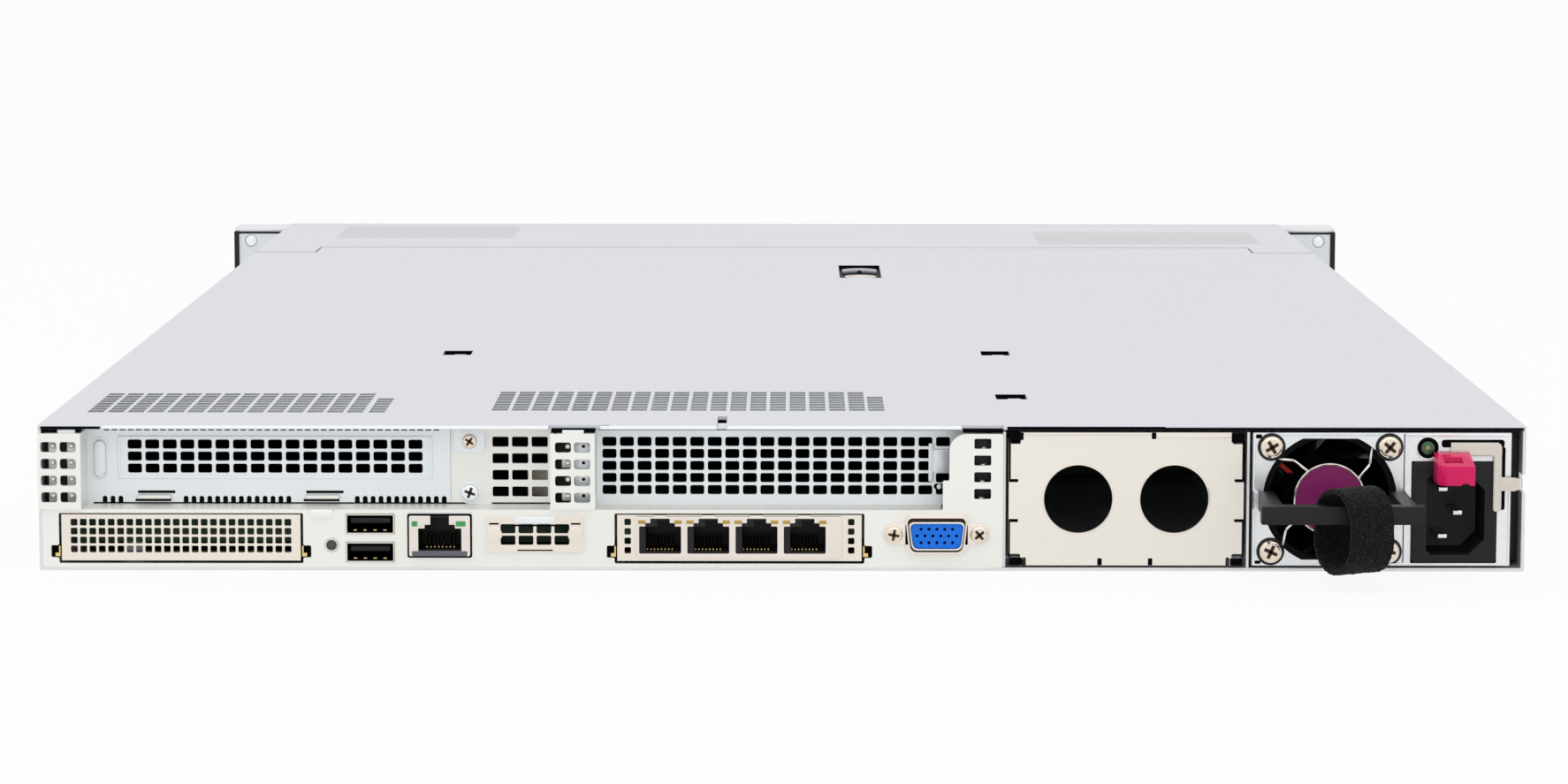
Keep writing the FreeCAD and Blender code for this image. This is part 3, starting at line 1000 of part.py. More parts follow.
def cable_strap():
    """Closed loop of webbing hung over the handle's bar, turned a little about the upright axis."""
    deep = "strap_deep / 2"
    inner = "(strap_deep / 2 - strap_thick)"
    bar_side = "(strap_wide / 2 * tan(strap_turn) + handle_bar / 2 / cos(strap_turn))"
    sag = f"{inner} - sqrt({inner} * {inner} - {bar_side} * {bar_side})"
    top = f"handle_bar / 2 + play + strap_thick + {sag}"
    low = f"{top} - strap_high"

    def loop(name, inset):
        radius = f"{deep} - {inset}"
        half = f"strap_wide / 2 + {inset}"
        x = (f"-({half})", half)
        upper = f"{top} - {deep}"
        lower = f"{low} + {deep}"
        return fuse(name, rod(f"{name}_over", "x", x, "0", upper, radius),
                    rod(f"{name}_under", "x", x, "0", lower, radius),
                    box(f"{name}_middle", x, (f"-({radius})", radius), (lower, upper)))

    strap = cut("strap_loop", loop("strap_outer", "0"), loop("strap_inner", "strap_thick"))
    strap.Placement = FreeCAD.Placement(FreeCAD.Vector(), FreeCAD.Rotation(
        FreeCAD.Vector(0, 0, 1), number("strap_turn")))
    place(strap, "psu_fan_x + strap_side", "handle_bar_y", "handle_height")
    node("cable_strap", strap)


def psu_circuit_board():
    """Board of the supply on four feet, with two wound blocks, and its edge out through the can."""
    foot = "bay_low + psu_steel"
    low = "bay_low + psu_board_lift"
    x = ("psu_left + 2 * psu_steel", "psu_right - 2 * psu_steel")
    y = ("rear + psu_board_start", "psu_front - 4 * psu_steel")
    pieces = [box("supply_board", x, y, (low, f"{low} + board_thick"))]
    for index, (side, end) in enumerate(((0, 0), (0, 1), (1, 0), (1, 1))):
        foot_x = x[0] if side == 0 else f"{x[1]} - standoff"
        foot_y = y[0] if end == 0 else f"{y[1]} - standoff"
        pieces.append(box(f"supply_foot_{index}", (foot_x, f"{foot_x} + standoff"),
                          (foot_y, f"{foot_y} + standoff"), (foot, low)))
    for index in range(2):
        coil_x = f"{x[0]} + {index + 0.5} * psu_coil_wide - psu_coil_wide / 4"
        coil_y = f"{y[0]} + {index + 0.5} * psu_coil_long + {index} * psu_coil_gap"
        pieces.append(box(f"supply_coil_{index}", (coil_x, f"{coil_x} + psu_coil_wide"),
                          (coil_y, f"{coil_y} + psu_coil_long"),
                          (f"{low} + board_thick", f"{low} + board_thick + psu_coil_high")))
    middle = "(psu_left + psu_right) / 2"
    pieces.append(box("supply_edge",
                      (f"{middle} - socket_wide / 2 + play", f"{middle} + socket_wide / 2 - play"),
                      (y[0], "psu_front + psu_board_tail"), (low, f"{low} + board_thick")))
    node("psu_circuit_board", fuse("psu_circuit_board", *pieces))


def power_backplane():
    """Upright board behind the bays with one slotted socket for each supply."""
    board_rear = "psu_front + psu_board_tail + 4 * play"
    sockets = []
    slots = []
    low = "bay_low + psu_board_lift"
    bays = ("blank_x", "(psu_left + psu_right) / 2")
    for index, x in enumerate(bays):
        sockets.append(box(f"power_socket_{index}", (f"{x} - socket_wide / 2 - socket_wall",
                                                     f"{x} + socket_wide / 2 + socket_wall"),
                           ("psu_front + socket_gap", board_rear),
                           (f"{low} - socket_high / 2", f"{low} + socket_high / 2 + board_thick")))
        slots.append(box(f"power_slot_{index}", (f"{x} - socket_wide / 2", f"{x} + socket_wide / 2"),
                         ("psu_front", f"{board_rear} - play"),
                         (f"{low} - play", f"{low} + board_thick + play")))
    board = box("power_board", ("blank_left + power_board_inset", "inner_right - power_board_inset"),
                (board_rear, f"{board_rear} + board_thick"),
                ("floor_steel", "bay_high_z - power_board_inset"))
    node("power_backplane", cut("power_backplane", fuse("power_board_set", board, *sockets), *slots))


def top_cover():
    """Sliding cover: punched sheet, and welded under it a pan for its latch and skirts inside the walls."""
    skin = ("cover_under", "height")
    through = ("cover_under - slip", "height + slip")
    sheet_metal = box("cover_sheet", ("left", "right"), ("rear", "cover_end"), skin)
    pan_x = ("latch_left - pan_steel", "latch_left + latch_wide + pan_steel")
    pan_y = ("latch_rear - pan_steel", "latch_rear + latch_long + pan_steel")
    pan = cut("cover_pan", box("cover_pan_block", pan_x, pan_y, ("pan_floor - pan_steel", "cover_under")),
              box("cover_pan_hollow", ("latch_left - slip", "latch_left + latch_wide + slip"),
                  ("latch_rear - slip", "latch_rear + latch_long + slip"), ("pan_floor", "height")))
    skirt_y = ("rear + skirt_start", "cover_end - skirt_end")
    skirt_z = ("cover_under - skirt_high", "cover_under")
    skirts = [box("skirt_left", ("inner_left + play", "inner_left + play + plate_steel"), skirt_y, skirt_z),
              box("skirt_right", ("inner_right - play - plate_steel", "inner_right - play"), skirt_y, skirt_z)]
    corner_y = ("cover_end - cover_corner_long", "cover_end + slip")
    slot = "cover_slot_wide"
    far_y = ("rear + far_slot_start", "rear + far_slot_start + cover_slot_long")
    near_y = ("rear + near_slot_start", "rear + near_slot_start + cover_slot_long")
    edge = ("rear - slip", "rear + lip_notch_deep")
    cuts = [
        box("cover_corner_left", ("left - slip", "left + cover_corner_wide"), corner_y, through),
        box("cover_corner_right", ("right - cover_corner_wide", "right + slip"), corner_y, through),
        box("cover_slot_left", (f"left_slot_end - left_slot_back - {slot}", "left_slot_end - left_slot_back"),
            far_y, through),
        box("cover_slot_far", ("blank_left + play", f"blank_left + play + {slot}"), far_y, through),
        box("cover_slot_near", ("blank_left", f"blank_left + {slot}"), near_y, through),
        box("cover_edge_slit",
            ("middle_end + edge_notch_from", "middle_end + edge_notch_from + edge_notch_wide"),
            ("rear - slip", "rear + edge_notch_long"), through),
        box("cover_notch_box", ("middle_end", "middle_end + lip_notch_wide"), edge, through),
        box("cover_notch_tongue", ("io_right - lip_notch_end", "io_right"), edge, through),
        box("cover_pan_window", ("latch_left", "latch_left + latch_wide"),
            ("latch_rear", "latch_rear + latch_long"), through),
    ]
    cover = cut("cover_cut", sheet_metal, *cuts)
    holes = ("vent_hole_wide", "vent_hole_long")
    pitches = ("vent_pitch_wide", "vent_pitch_long")
    grids = []
    for name, west, wide, start in (("left", "left + vent_left_inset", "vent_left_wide", "vent_left_start"),
                                    ("right", "left_slot_end + vent_right_inset", "vent_right_wide",
                                     "vent_right_start")):
        first = f"rear + {start}"
        spans = ((west, f"{west} + {wide}"), (first, f"{first} + vent_long"))
        grids.append(punched(f"vent_{name}", "xy", spans, holes, pitches, through))
        short_x = f"{west} + {wide} + (vent_pitch_wide - vent_hole_wide) / 2"
        grids.append(punched(f"vent_{name}_short", "xy",
                             ((short_x, f"{short_x} + vent_hole_wide + slip"),
                              (first, f"{first} + vent_long - 2 * vent_pitch_long")), holes, pitches, through))
    vented = cut("cover_vented", cover, group("cover_vents", grids))
    node("top_cover", group("top_cover", [vented, pan, *skirts]))


def cover_latch():
    """Lever that lifts out of the cover's pan, with a round lock, on a pin between the pan's walls."""
    x = ("latch_left + lever_clear", "latch_left + latch_wide - lever_clear")
    z = ("lever_z - lever_thick / 2", "lever_z + lever_thick / 2")
    plate = box("lever_plate", x, ("latch_rear + lever_clear", "lever_hinge_y"), z)
    eye = rod("lever_eye", "x", x, "lever_hinge_y", "lever_z", "lever_thick / 2")
    pin = rod("lever_pin_rod", "x", ("latch_left + slip", "latch_left + latch_wide - slip"), "lever_hinge_y",
              "lever_z", "lever_pin")
    lock = rod("lever_lock", "z", "latch_left + latch_wide / 2", "latch_rear + lever_clear + lock_inset",
               ("lever_z", "height - slip"), "lock_radius")
    node("cover_latch", fuse("cover_latch", plate, eye, pin, lock))


def front_top_panel():
    """Fixed top sheet over the drives, with two tabs that reach back beside the cover."""
    skin = ("cover_under", "height")
    start = "cover_end + cover_gap"
    tab_y = ("cover_end - cover_corner_long + cover_gap", "front")
    sheet_metal = box("front_sheet", ("left", "right"), (start, "front"), skin)
    tabs = [box("front_tab_left", ("left", "left + cover_corner_wide - cover_gap"), tab_y, skin),
            box("front_tab_right", ("right - cover_corner_wide + cover_gap", "right"), tab_y, skin)]
    node("front_top_panel", fuse("front_top_panel", sheet_metal, *tabs))


def system_board():
    level = ("board_height", "board_top")
    rear_part = box("board_rear", ("left + board_edge", "io_right - board_edge"),
                    ("rear + board_start", "rear + board_split + board_edge"), level)
    main = box("board_main", ("left + board_edge", "right - board_edge"),
               ("rear + board_split", "front - board_end"), level)
    node("system_board", fuse("system_board", rear_part, main))


def processors_and_memory():
    """Two processors under finned sinks, and memory on both sides of each."""
    lids = []
    sinks = []
    sticks = []
    for cpu, side in enumerate((-1, 1)):
        x = f"{side} * cpu_spacing / 2"
        lids.append(box(f"cpu_{cpu}", (f"{x} - cpu_size / 2", f"{x} + cpu_size / 2"),
                        ("cpu_y - cpu_size / 2", "cpu_y + cpu_size / 2"), ("board_top", "cpu_top")))
        sink_x = (f"{x} - sink_wide / 2", f"{x} + sink_wide / 2")
        sink_y = ("cpu_y - sink_long / 2", "cpu_y + sink_long / 2")
        fins = [box(f"sink_base_{cpu}", sink_x, sink_y, ("cpu_top", "cpu_top + sink_base"))]
        for index, start in enumerate(starts(sink_x, "fin_thick", "fin_pitch")):
            fins.append(box(f"fin_{cpu}_{index}", (start, f"{start} + fin_thick"), sink_y,
                            ("cpu_top", "cpu_top + sink_high")))
        sinks.append(fuse(f"sink_{cpu}", *fins))
        for index in range(2 * MEMORY_PER_SIDE):
            way = -1 if index < MEMORY_PER_SIDE else 1
            stick = f"{x} + {way} * (dimm_first + {index % MEMORY_PER_SIDE} * dimm_pitch)"
            sticks.append(box(f"stick_{cpu}_{index}",
                              (f"{stick} - dimm_thick / 2", f"{stick} + dimm_thick / 2"),
                              ("cpu_y - dimm_long / 2", "cpu_y + dimm_long / 2"),
                              ("board_top", "board_top + dimm_high")))
    node("processors", group("processors", lids))
    node("heat_sinks", group("heat_sinks", sinks))
    node("memory_modules", group("memory_modules", sticks))


def air_baffle():
    """Moulded duct over the memory, standing on the board beside it."""
    half = f"cpu_spacing / 2 + dimm_first + {MEMORY_PER_SIDE} * dimm_pitch"
    y = ("cpu_y - dimm_long / 2 - baffle_over", "cpu_y + dimm_long / 2")
    top = "board_top + dimm_high + baffle_clear"
    roof = box("baffle_roof", (f"-({half})", half), y, (top, f"{top} + baffle_thick"))
    sides = [box("baffle_left", (f"-({half})", f"-({half}) + baffle_thick"), y, ("board_top", top)),
             box("baffle_right", (f"{half} - baffle_thick", half), y, ("board_top", top))]
    node("air_baffle", fuse("air_baffle", roof, *sides))


def riser_cards():
    """Upright riser boards beside the two slots, each with a card socket."""
    cards = []
    for index, (x, way) in enumerate((("left_slot_end", -1), ("middle_end", 1))):
        y = ("rear + riser_start", "rear + riser_start + riser_long")
        card = box(f"riser_{index}", (x, f"{x} + board_thick"), y, ("board_top", "board_top + riser_high"))
        near = (f"{x} - riser_slot_wide", x) if way < 0 else (f"{x} + board_thick",
                                                             f"{x} + board_thick + riser_slot_wide")
        socket = box(f"riser_socket_{index}", near, (y[0], f"{y[0]} + riser_slot_long"),
                     ("board_top + riser_high / 2", "board_top + riser_high / 2 + riser_slot_high"))
        cards.append(fuse(f"riser_card_{index}", card, socket))
    node("riser_cards", group("riser_cards", cards))


def system_fans():
    """Five fan modules in a tray across the chassis, each frame with its own rotor on a shaft."""
    reach = f"{FAN_COUNT} * fan_pitch / 2"
    frames = [box("fan_tray_sheet", (f"-{reach}", reach), ("fan_rear", "fan_rear + fan_long"),
                  ("floor_steel", "fan_low"))]
    bores = []
    mounts = []
    for index in range(FAN_COUNT):
        x = f"{index - (FAN_COUNT - 1) / 2} * fan_pitch"
        frames.append(box(f"fan_block_{index}", (f"{x} - fan_wide / 2", f"{x} + fan_wide / 2"),
                          ("fan_rear", "fan_rear + fan_long"), ("fan_low", "fan_top")))
        bores.append(prism(f"fan_hole_{index}", "y", x, ("fan_rear - slip", "fan_rear + fan_long + slip"),
                           "fan_z", "fan_bore", HIDDEN_SIDES))
        mount = fan_mount(f"fan_{index}", "fan_hub_radius", "fan_hub_thick", "fan_bore + fan_wall / 2",
                          "shaft_long")
        mounts.append(place(mount, x, "fan_rear + slip", "fan_z"))
        spinner = rotor(f"fan_rotor_{index + 1}", "fan_hub_radius - blade_gap", "fan_bore - blade_gap",
                        "shaft_long - fan_hub_thick - blade_gap")
        place(spinner, x, "fan_rear + slip + fan_hub_thick + blade_gap", "fan_z")
        node(f"fan_rotor_{index + 1}", spinner)
    blocks = cut("fan_blocks", fuse("fan_solid", *frames), group("fan_bores", bores))
    node("fan_frames", fuse("fan_frames", blocks, *mounts))


def drive_backplane():
    start = "front - backplane_from_front"
    board = box("drive_board", ("inner_left + backplane_edge", "media_left - media_gap"),
                (start, f"{start} + board_thick"),
                ("floor_steel + backplane_foot", "cage_top - backplane_head"))
    node("drive_backplane", board)


def bay_corner(column, row):
    """West edge and floor of one drive bay."""
    x = f"cage_x + cage_steel + {column} * bay_pitch"
    z = f"cage_floor + {row} * (bay_high + bay_rows_gap)"
    return x, z


def drive_cage():
    y = ("front - cage_from_front", "front - cage_front")
    east = "cage_east + cage_steel"
    pieces = [box("cage_base", ("cage_x", east), y, ("floor_steel", "cage_floor"))]
    for index in range(BAY_COLUMNS + 1):
        x = f"cage_x + {index} * bay_pitch"
        pieces.append(box(f"cage_wall_{index}", (x, f"{x} + cage_steel"), y, ("floor_steel", "cage_top")))
    shelf = "cage_floor + bay_high"
    pieces.append(box("cage_shelf", ("cage_x", east), y, (shelf, f"{shelf} + bay_rows_gap")))
    node("drive_cage", fuse("drive_cage", *pieces))


def drive(name, column, row):
    """A drive in its carrier, and the lever that lets it out."""
    west, low = bay_corner(column, row)
    x = (f"{west} + drive_clear", f"{west} + bay_pitch - cage_steel - drive_clear")
    z = (f"{low} + drive_clear", f"{low} + bay_high - drive_clear")
    face = "front - bezel_back + bezel_thick"
    can = box(f"{name}_can", x, ("front - drive_end", "front - bezel_back"), z)
    bezel = box(f"{name}_bezel", x, ("front - bezel_back", face), z)
    lips = [box(f"{name}_lip_{index}", x, (face, f"{face} + drive_lever_thick + play"), span)
            for index, span in enumerate(((z[0], f"{z[0]} + lip_thick"), (f"{z[1]} - lip_thick", z[1])))]
    pin_x = f"{x[1]} - drive_pin_edge"
    pin_y = f"{face} + play + drive_lever_thick / 2"
    pin = rod(f"{name}_pin", "z", pin_x, pin_y, z, "drive_pin")
    node(name, fuse(name, can, bezel, *lips, pin))
    inner = (f"{z[0]} + lip_thick + play", f"{z[1]} - lip_thick - play")
    lever_y = (f"{face} + play", f"{face} + play + drive_lever_thick")
    arm = box(f"{name}_arm", (f"{x[0]} + drive_lever_edge", pin_x), lever_y, inner)
    eye = rod(f"{name}_eye", "z", pin_x, pin_y, inner, "drive_lever_thick / 2")
    grip = box(f"{name}_grip", (f"{x[0]} + 3 * drive_lever_edge", f"{pin_x} - 3 * drive_lever_edge"),
               (f"{face} + play + drive_lever_thick / 2", f"{lever_y[1]} + slip"),
               (f"{inner[0]} + lip_thick", f"{inner[1]} - lip_thick"))
    bore = rod(f"{name}_lever_bore", "z", pin_x, pin_y, z, "drive_pin + slip")
    node(f"{name}_lever", cut(f"{name}_lever", fuse(f"{name}_lever_body", arm, eye), grip, bore))


def front_bay_blanks():
    """Slotted blanks in the six empty bays, and the wide blank of the media bay."""
    blanks = []
    for column in range(1, BAY_COLUMNS):
        for row in range(2):
            west, low = bay_corner(column, row)
            x = (f"{west} + drive_clear", f"{west} + bay_pitch - cage_steel - drive_clear")
            z = (f"{low} + drive_clear", f"{low} + bay_high - drive_clear")
            blanks.append(slotted_blank(f"bay_blank_{column}_{row}", x, z))
    blanks.append(slotted_blank("media_blank", ("media_left", "media_right"),
                                ("floor_steel + play", "cage_top")))
    node("front_bay_blanks", group("front_bay_blanks", blanks))


def slotted_blank(name, x, z):
    face_y = ("front - blank_grip_deep", "front - bezel_back + bezel_thick")
    block = box(f"{name}_block", x, face_y, z)
    hollow = box(f"{name}_hollow", shifted(x[:1], "panel_wall") + shifted(x[1:], "-panel_wall"),
                 ("front - blank_grip_deep - slip", "front - bezel_back"),
                 shifted(z[:1], "panel_wall") + shifted(z[1:], "-panel_wall"))
    slots = []
    slot_z = (f"{z[0]} + 2 * panel_wall", f"{z[1]} - 2 * panel_wall")
    for index, low in enumerate(starts(slot_z, "blank_slot_high", "2 * blank_slot_high")):
        slots.append(box(f"{name}_slot_{index}", (f"{x[0]} + blank_slot_edge", f"{x[1]} - blank_slot_edge"),
                         ("front - blank_grip_deep / 2", "front"), (low, f"{low} + blank_slot_high")))
    return cut(f"{name}_cut", block, hollow, group(f"{name}_slots", slots))


def front_control():
    """Moulded control panel at the right of the front, with the power button in its guide."""
    x = ("control_left", "control_right")
    z = ("floor_steel + play", "cage_top")
    y = ("front - panel_deep - bezel_thick", "front - bezel_back + bezel_thick")
    block = box("control_block", x, y, z)
    hollow = box("control_hollow", shifted(x[:1], "panel_wall") + shifted(x[1:], "-panel_wall"),
                 (f"{y[0]} - slip", f"{y[1]} - 2 * panel_wall"),
                 shifted(z[:1], "panel_wall") + shifted(z[1:], "-panel_wall"))
    guide = prism("button_guide_tube", "y", "button_x", y, "button_height", "button_guide", SMALL_SIDES)
    bore = rod("button_bore", "y", "button_x", (f"{y[0]} - slip", f"{y[1]} + slip"), "button_height",
               "button_radius + slip")
    body = fuse("control_body", cut("control_shell", block, hollow), guide)
    node("front_control_panel", cut("front_control_panel", body, bore))
    button_y = (f"{y[1]} + button_stand - button_long", f"{y[1]} + button_stand")
    node("power_button", rod("power_button", "y", "button_x", button_y, "button_height", "button_radius"))


def rack_ears():
    """Steel ears with the rack's screw holes, and hinged plastic latches in front of them."""
    plates = []
    for index, (way, edge) in enumerate(((-1, "left"), (1, "right"))):
        def across(near, far):
            spans = (f"{edge} + {way} * ({near})", f"{edge} + {way} * ({far})")
            return spans if way > 0 else spans[::-1]

        plate = box(f"ear_plate_{index}", across("0", "ear_width"), ("ear_rear", "ear_rear + ear_steel"),
                    ("ear_foot", "wall_top"))
        flange = box(f"ear_flange_{index}", across("0", "side_steel"),
                     ("ear_rear - ear_flange", "ear_rear + slip"), ("ear_foot", "wall_top"))
        pin_x = f"{edge} + {way} * (ear_latch_width - ear_pin_edge + play)"
        lug_x = across("ear_latch_width - 2 * ear_pin_edge + play", "ear_width")
        lug_y = ("ear_rear", "ear_pin_y + ear_pin")
        lugs = [box(f"ear_lug_low_{index}", lug_x, lug_y, ("ear_foot", "ear_foot + ear_lug")),
                box(f"ear_lug_high_{index}", lug_x, lug_y, ("wall_top - ear_lug", "wall_top"))]
        pin = rod(f"ear_pin_{index}", "z", pin_x, "ear_pin_y", ("ear_foot", "wall_top"), "ear_pin")
        holes = [rod(f"ear_hole_{index}_{level}", "y", f"{way} * ear_hole_spacing / 2",
                     ("ear_rear - slip", "ear_rear + ear_steel + slip"), height, "ear_hole_radius")
                 for level, height in enumerate(("ear_hole_low", "ear_hole_low + ear_hole_rise"))]
        plates.append(cut(f"ear_{index}", fuse(f"ear_steel_{index}", plate, flange, *lugs, pin), *holes))

        inner_z = ("ear_foot + ear_lug + play", "wall_top - ear_lug - play")
        door_y = ("ear_pin_y + ear_knuckle", "front")
        door = box(f"door_{index}", across("play", "ear_latch_width + ear_knuckle - ear_pin_edge + play"),
                   door_y, inner_z)
        hollow = box(f"door_hollow_{index}", across("play + ear_latch_wall",
                                                    "ear_latch_width - 2 * ear_pin_edge - ear_latch_wall"),
                     ("ear_pin_y", "front - ear_latch_wall"),
                     ("ear_foot + ear_lug + ear_latch_wall + play",
                      "wall_top - ear_lug - ear_latch_wall - play"))
        knuckle = rod(f"door_knuckle_{index}", "z", pin_x, "ear_pin_y", inner_z, "ear_knuckle")
        web = box(f"door_web_{index}", across("ear_latch_width - ear_pin_edge - ear_knuckle + play",
                                              "ear_latch_width - ear_pin_edge + ear_knuckle + play"),
                  ("ear_pin_y", "ear_pin_y + 2 * ear_knuckle"), inner_z)
        bore = rod(f"door_bore_{index}", "z", pin_x, "ear_pin_y", ("0", "height"), "ear_pin + slip")
        side = "left" if way < 0 else "right"
        body = fuse(f"door_body_{index}", cut(f"door_shell_{index}", door, hollow), knuckle, web)
        node(f"ear_latch_{side}", cut(f"ear_latch_{side}", body, bore))
    node("rack_ears", group("rack_ears", plates))


def build():
    chassis_tray()
    rear_io_panel()
    riser_brackets()
    slot_covers()
    expansion_blank()
    module_clips()
    network_card()
    management_jack()
    usb_ports()
    serial_port_blank()
    video_socket()
    case_screws()
    uid_light()
    psu_bay_divider()
    psu_bay_blank()
    psu_case()
    psu_face()
    psu_fan()
    psu_inlet()
    psu_latch()
    psu_handle()
    cable_strap()
    psu_circuit_board()
    power_backplane()
    top_cover()
    cover_latch()
    front_top_panel()
    system_board()
    processors_and_memory()
    air_baffle()
    riser_cards()
    system_fans()
    drive_backplane()
    drive_cage()
    drive("drive_1", 0, 1)
    drive("drive_2", 0, 0)
    front_bay_blanks()
    front_control()
    rack_ears()
    doc.recompute()


def write():
    """Check every object, then write each sub-part to its own file."""
    for thing in doc.Objects:
        if "Invalid" in thing.State or "Error" in thing.State:
            raise RuntimeError(f"{thing.Name} did not rebuild: {thing.State}")
    for thing in NODES:
        if thing.Shape.isNull() or not thing.Shape.isValid():
            raise RuntimeError(f"{thing.Label} has no sound shape")
    os.makedirs("parts", exist_ok=True)
    for thing in NODES:
        thing.Shape.exportStep(f"parts/{thing.Label}.step")


build()
write()
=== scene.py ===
"""Looks of a one-unit rack server seen from its rear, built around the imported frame.

Sizes in the code are millimetres in the part's own frame: the rear faces -Y, Z points up and the origin is
the middle of the floor's underside. Blender works in metres, so every helper multiplies by MM. A shape's x,
y and z are spans: pairs of its lower and upper side along that axis.
"""
import contextlib
import math

import bmesh
import bpy
from bpy.props import FloatProperty, FloatVectorProperty, IntProperty, PointerProperty
from mathutils import Matrix, Vector


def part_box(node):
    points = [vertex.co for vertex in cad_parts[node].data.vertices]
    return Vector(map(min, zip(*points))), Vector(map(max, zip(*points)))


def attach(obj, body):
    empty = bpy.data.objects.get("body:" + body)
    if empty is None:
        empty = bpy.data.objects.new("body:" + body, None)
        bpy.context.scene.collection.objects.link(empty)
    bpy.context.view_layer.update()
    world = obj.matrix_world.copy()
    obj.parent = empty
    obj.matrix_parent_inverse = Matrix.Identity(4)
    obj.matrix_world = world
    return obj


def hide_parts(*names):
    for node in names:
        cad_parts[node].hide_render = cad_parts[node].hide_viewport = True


bl_info = {
    "name": "Rack Server Looks",
    "version": (1, 0, 0),
    "blender": (4, 5, 0),
    "location": "View3D > Sidebar > Rack Server",
    "description": "Models and finishes the visible pieces of a one-unit rack server",
    "category": "Object",
}

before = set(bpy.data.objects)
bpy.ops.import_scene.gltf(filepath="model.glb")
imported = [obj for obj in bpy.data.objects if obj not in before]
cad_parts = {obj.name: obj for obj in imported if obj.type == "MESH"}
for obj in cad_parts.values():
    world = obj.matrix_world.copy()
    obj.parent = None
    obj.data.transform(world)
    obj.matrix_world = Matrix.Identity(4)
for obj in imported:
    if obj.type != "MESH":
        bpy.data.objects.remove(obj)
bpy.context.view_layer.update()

MM = 0.001
REAR = -353.5
PLATE = -341.5
REARWARD = (0, -1, 0)
SMOOTH_ANGLE = math.radians(38)
SHARP_ANGLE = 1.0
MERGE_DISTANCE = 1e-6
FLAT = 0.9999
SHEET_THICKEST = 1.3
FRAME_EDGE = 0.15
TURNS = {"x": (0, math.pi / 2, 0), "y": (math.pi / 2, 0, 0), "z": (0, 0, 0)}
SIDES = (-1, 1)


def colour_property(name, description, default):
    return FloatVectorProperty(name=name, description=description, subtype="COLOR", size=3, min=0, max=1,
                               default=default)


class SheetLooks(bpy.types.PropertyGroup):
    """Colours and edges of the sheet metal."""
    cover_colour: colour_property("Cover", "Plated top cover", (0.655, 0.67, 0.715))
    panel_colour: colour_property("Rear panel", "Warm pale plating of the rear panel", (0.89, 0.89, 0.845))
    slot_colour: colour_property("Slot covers", "Bluish plating of the slot covers", (0.845, 0.895, 0.915))
    nickel_colour: colour_property("Nickel", "Warm nickel of the card faces", (0.86, 0.79, 0.70))
    zinc_colour: colour_property("Supply face", "Galvanised face of the power supply", (0.86, 0.88, 0.90))
    hole_round: FloatProperty(name="Hole corner", default=0.6, min=0,
                              description="Radius of a punched hole's corner, in millimetres")


class SupplyLooks(bpy.types.PropertyGroup):
    """Colours and counts of the power supply."""
    tab_colour: colour_property("Release tab", "Pink moulding of the release tab", (0.70, 0.005, 0.11))
    hub_colour: colour_property("Fan hub", "Plain disc on the fan's hub", (0.19, 0.012, 0.10))
    plastic_colour: colour_property("Plastic", "Black moulded plastic", (0.010, 0.010, 0.011))
    strap_colour: colour_property("Strap", "Black looped webbing", (0.005, 0.005, 0.006))
    blades: IntProperty(name="Blades", description="Blades of the supply's fan", default=7, min=3, max=12)


class StageLooks(bpy.types.PropertyGroup):
    """Camera and light."""
    lens: FloatProperty(name="Lens", description="Focal length on a 36 mm sensor", default=108.53,
                        subtype="DISTANCE_CAMERA")
    fill: FloatProperty(name="Fill", description="Strength of the light from all round", default=0.82, min=0)
    key: FloatProperty(name="Key", description="Power of the lamp above the camera", default=9.0, min=0,
                       unit="POWER")


def rgba(colour, level=1.0):
    return (*(min(1.0, part * level) for part in colour), 1.0)


def dimmed(colour, share):
    return tuple(share * part for part in colour)


class Wire:
    """A socket of a material's nodes; sums and products of wires add Math nodes."""

    def __init__(self, tree, socket=None):
        self.tree = tree
        self.socket = socket

    def node(self, kind, settings, inputs, output=0):
        made = self.tree.nodes.new(kind)
        for key, value in settings.items():
            setattr(made, key, value)
        for key, value in inputs.items():
            if isinstance(value, Wire):
                self.tree.links.new(value.socket, made.inputs[key])
            else:
                made.inputs[key].default_value = value
        return Wire(self.tree, made.outputs[output] if made.outputs else None)

    def sum(self, operation, first, second):
        return self.node("ShaderNodeMath", {"operation": operation}, {0: first, 1: second})

    def __add__(self, other):
        return self.sum("ADD", self, other)

    __radd__ = __add__

    def __sub__(self, other):
        return self.sum("SUBTRACT", self, other)

    def __rsub__(self, other):
        return self.sum("SUBTRACT", other, self)

    def __mul__(self, other):
        return self.sum("MULTIPLY", self, other)

    __rmul__ = __mul__

    def above(self, level):
        return self.sum("GREATER_THAN", self, level)

    def mix(self, first, second):
        """Blend two colours by this wire."""
        return self.node("ShaderNodeMix", {"data_type": "RGBA"}, {0: self, 6: first, 7: second}, 2)

    def shades(self, colour, dark, pale):
        """Shades of one colour by this wire, from its dark level to its pale one."""
        return self.mix(rgba(colour, dark), rgba(colour, pale))

    def noise(self, scale, detail=3.0):
        return self.node("ShaderNodeTexNoise", {}, {"Vector": self, "Scale": scale, "Detail": detail})

    def relief(self, strength, distance=0.0002):
        """A normal that takes this wire as its height."""
        return self.node("ShaderNodeBump", {}, {"Strength": strength, "Distance": distance, "Height": self})


def new_material(name):
    """A material with no shader yet, and a wire of its Object coordinates."""
    material = bpy.data.materials.new(name)
    material.use_nodes = True
    material.node_tree.nodes.clear()
    return material, Wire(material.node_tree).node("ShaderNodeTexCoord", {}, {}, "Object")


def shaded(material, place, inputs):
    """Close a material with a Principled shader that has these inputs."""
    surface = place.node("ShaderNodeBsdfPrincipled", {}, inputs)
    place.node("ShaderNodeOutputMaterial", {}, {"Surface": surface})
    return material


